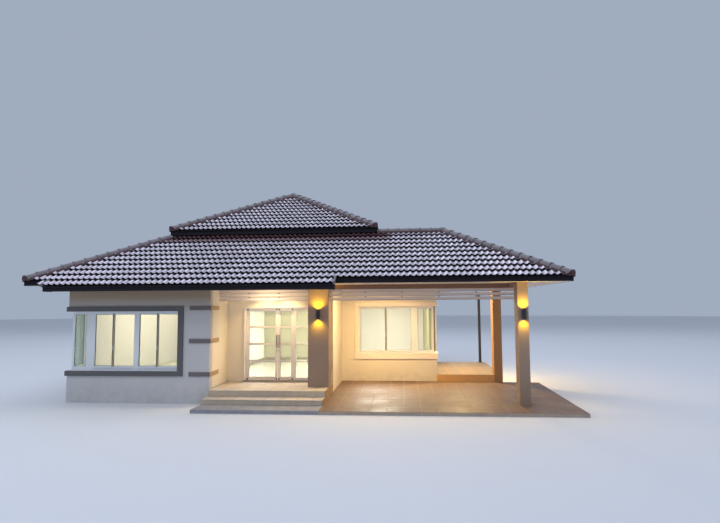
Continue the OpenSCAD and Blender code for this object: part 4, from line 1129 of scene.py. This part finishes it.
def lamp_places():
    """Plan places of the lamps on the fronts of the porch column and the front carport post."""
    column_lo, column_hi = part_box("porch_column")
    lamp_lo, lamp_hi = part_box("wall_lamps")
    return (((column_lo.x + column_hi.x) / 2, column_lo.y - LAMP_R - LAMP_GAP),
        (lamp_hi.x - LAMP_R, lamp_lo.y + LAMP_R))


def wall_lamps():
    """Up and down lights: a black tube with a bright cone and a lamp sunk in each end."""
    lo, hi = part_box("wall_lamps")
    body, cones, bulbs = (bmesh.new() for _ in range(3))
    r, h, deep = LAMP_R, hi.z - lo.z, 0.045
    outside = [(r - 0.004, 0.0), (r, 0.003), (r, 0.02), (r - 0.0015, 0.022), (r - 0.0015, 0.024),
        (r, 0.026)]
    tube = outside + [(x, h - z) for x, z in outside[::-1]]
    for x, y in lamp_places():
        at = Matrix.Translation((x, y, lo.z))
        lathe(body, tube + [(r - 0.008, h), (r - 0.010, h - deep), (0.0, h - deep)], at)
        lathe(body, ((0.0, deep), (r - 0.010, deep), (r - 0.008, 0.0), (r - 0.004, 0.0),
            (r - 0.004, h / 2), (0.0, h / 2)), at)
        for z, turn in ((0.004, 1), (h - 0.004, -1)):
            lathe(cones, ((r - 0.0085, z), (0.026, z + turn * 0.036), (0.026, z + turn * 0.038),
                (r - 0.0085, z + turn * 0.002)), at)
            lathe(bulbs, ((0.0, z + turn * 0.026), (0.016, z + turn * 0.028),
                (0.024, z + turn * 0.036), (0.0, z + turn * 0.036)), at, 24)
        back = y + LAMP_R + LAMP_GAP
        solid_box(body, (x - 0.025, y + r * 0.6, lo.z + 0.075),
            (x + 0.025, back - 0.004, hi.z - 0.075), 0.004)
        solid_box(body, (x - 0.042, back - 0.006, lo.z + 0.055),
            (x + 0.042, back, hi.z - 0.055), 0.003)
    fit("lamp_tubes", body, DARK_METAL, "dark_metal", "wall_lamps")
    fit("lamp_reflectors", cones, STEEL, "dark_metal")
    fit("lamp_bulbs", bulbs, LAMP_GLOW, "white_frame")


def ceiling_lamps():
    """Flush round panels under the porch and carport ceilings."""
    rims, panels = bmesh.new(), bmesh.new()
    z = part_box("ceiling_and_soffit")[0].z
    for x, y in CEILING_LAMPS:
        at = Matrix.Translation((x, y, z - 0.022))
        lathe(rims, ((0.098, 0.0), (0.112, 0.004), (0.116, 0.022), (0.098, 0.022)), at, 40)
        lathe(panels, ((0.0, 0.004), (0.097, 0.006), (0.097, 0.020), (0.0, 0.020)), at, 40)
    fit("ceiling_lamp_rims", rims, WHITE_FRAME, "white_frame")
    fit("ceiling_lamp_panels", panels, CEILING_GLOW, "white_frame")


def post_plates():
    """Foot and head plates of the terrace post, each held by four bolts."""
    lo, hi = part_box("terrace_post")
    x, y = (lo.x + hi.x) / 2, (lo.y + hi.y) / 2
    bolt_h = 0.008
    bolt = ((0.0, 0.0), (0.008, 0.0), (0.008, 0.006), (0.005, bolt_h), (0.0, bolt_h))
    bm = bmesh.new()
    for z0, z1, bolt_z in ((lo.z + 0.006, lo.z + 0.014, lo.z + 0.014),
            (hi.z - 0.014, hi.z - 0.006, hi.z - 0.014 - bolt_h)):
        solid_box(bm, (x - 0.075, y - 0.07, z0), (x + 0.075, y + 0.045, z1), 0.002)
        for dx in (-0.06, 0.06):
            for dy in (-0.058, 0.033):
                lathe(bm, bolt, Matrix.Translation((x + dx, y + dy, bolt_z)), 6)
    fit("terrace_post_plates", bm, DARK_METAL, "dark_metal")


for build in (lower_tiles, upper_tiles, boarding, valley, caps, front_eave, outdoor_floors,
        indoor_floors, window_parts, door_parts, wall_lamps, ceiling_lamps, post_plates):
    build()
for shape in (TILE_SHAPE, CAP_SHAPE, OUTER[0], INNER[0]):
    bpy.data.objects.remove(shape)


# Camera, light and floor
FRAME_W = 720
FOCAL_PX = 542.078
EYE = Vector((8.998, -13.955, 2.525))
YAW, PITCH, ROLL = (radians(a) for a in (4.655, 4.639, -0.332))


def photo_camera():
    cam = bpy.data.cameras.new("photo_camera")
    cam.sensor_width = 36.0
    cam.lens = FOCAL_PX * cam.sensor_width / FRAME_W
    cam.clip_end = 400.0
    level = cos(PITCH)
    ahead = Vector((-sin(YAW) * level, cos(YAW) * level, sin(PITCH)))
    right = Vector((cos(YAW), sin(YAW), 0))
    up = right.cross(ahead)
    tilted_right = right * cos(ROLL) + up * sin(ROLL)
    tilted_up = up * cos(ROLL) - right * sin(ROLL)
    ob = new_object("photo_camera", cam)
    ob.matrix_world = frame_matrix(EYE, tilted_right, tilted_up)
    bpy.context.scene.camera = ob


def shine(name, kind, at, target, power, colour):
    """A light of one kind, turned to a target and not seen by the camera itself. Without a
    target it points straight down."""
    light = bpy.data.lights.new(name, kind)
    light.energy = power
    light.color = colour
    ob = new_object(name, light)
    ob.location = at
    way = Vector(target) - Vector(at) if target else -Z
    ob.rotation_euler = way.to_track_quat("-Z", "Y").to_euler()
    ob.visible_camera = False
    return light


def area_light(name, at, target, size, power, colour):
    light = shine(name, "AREA", at, target, power, colour)
    light.shape = "RECTANGLE"
    light.size, light.size_y = size


def spot(name, at, target, power, angle, colour, blend=1.0):
    light = shine(name, "SPOT", at, target, power, colour)
    light.spot_size = radians(angle)
    light.spot_blend = blend
    light.shadow_soft_size = 0.03


WARM = (1.0, 0.69, 0.29)
ROOM_LIGHT = (1.0, 0.95, 0.68)
HALL_LIGHT = (0.98, 1.0, 1.0)
SIDE_LIGHT = (1.0, 1.0, 0.86)
PALE = (1.0, 0.80, 0.52)
AMBER = (1.0, 0.62, 0.01)


def lights():
    world = bpy.data.worlds.new("soft_sky")
    bpy.context.scene.world = world
    world.use_nodes = True
    sky = world.node_tree.nodes["Background"]
    sky.inputs["Color"].default_value = (0.68, 0.80, 1.0, 1)
    sky.inputs["Strength"].default_value = 0.52
    area_light("studio_soft", (-3, -17, 23), (5, 4, 2), (18, 14), 2000, (0.84, 0.90, 1.0))
    area_light("studio_rear", (5, 24, 30), (5, 3, 4), (60, 30), 3400, (0.80, 0.84, 1.0))
    area_light("studio_top", (5, 2, 32), (5, 3, 0), (40, 24), 2400, (0.84, 0.86, 1.0))
    for x, y in CEILING_LAMPS[:2]:
        spot("porch_light", (x, y, 3.06), None, 74, 112, WARM, 0.45)
    area_light("louvre_wash", (5.3, 0.2, 2.42), (5.3, 0.7, 2.85), (0.5, 0.1), 8, PALE)
    area_light("carport_light", (8.25, 1.7, 3.055), None, (0.5, 0.5), 92, WARM)
    spot("carport_wash", (9.0, 1.4, 3.0), (9.1, 3.6, 0.6), 150, 80, WARM, 0.8)
    area_light("terrace_light", (10.9, 4.7, 3.055), None, (0.3, 0.3), 180, WARM)
    area_light("hall_light", (5.1, 3.2, 3.04), None, (1.4, 1.4), 130, HALL_LIGHT)
    area_light("wing_light", (1.8, 4.2, 3.04), None, (2.2, 6.0), 200, ROOM_LIGHT)
    area_light("side_room_light", (7.9, 6.0, 3.04), None, (1.4, 3.0), 400, SIDE_LIGHT)
    lo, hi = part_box("wall_lamps")
    for x, y in lamp_places():
        spot("lamp_up", (x, y, hi.z + 0.005), (x, y, hi.z + 1), 36, 150, AMBER)
        spot("lamp_down", (x, y, lo.z - 0.005), None, 24, 140, AMBER)


def studio_floor():
    bm = bmesh.new()
    bmesh.ops.create_circle(bm, cap_ends=True, radius=120.0, segments=96)
    k = Look("pale_floor", Roughness=0.8)
    tone = k.mix(k.noise(0.2, 3.0), (0.72, 0.73, 0.75), (0.76, 0.77, 0.79))
    piece_from("studio_floor", bm, k.done(tone))


bpy.context.scene.view_settings.view_transform = "Standard"
photo_camera()
lights()
studio_floor()
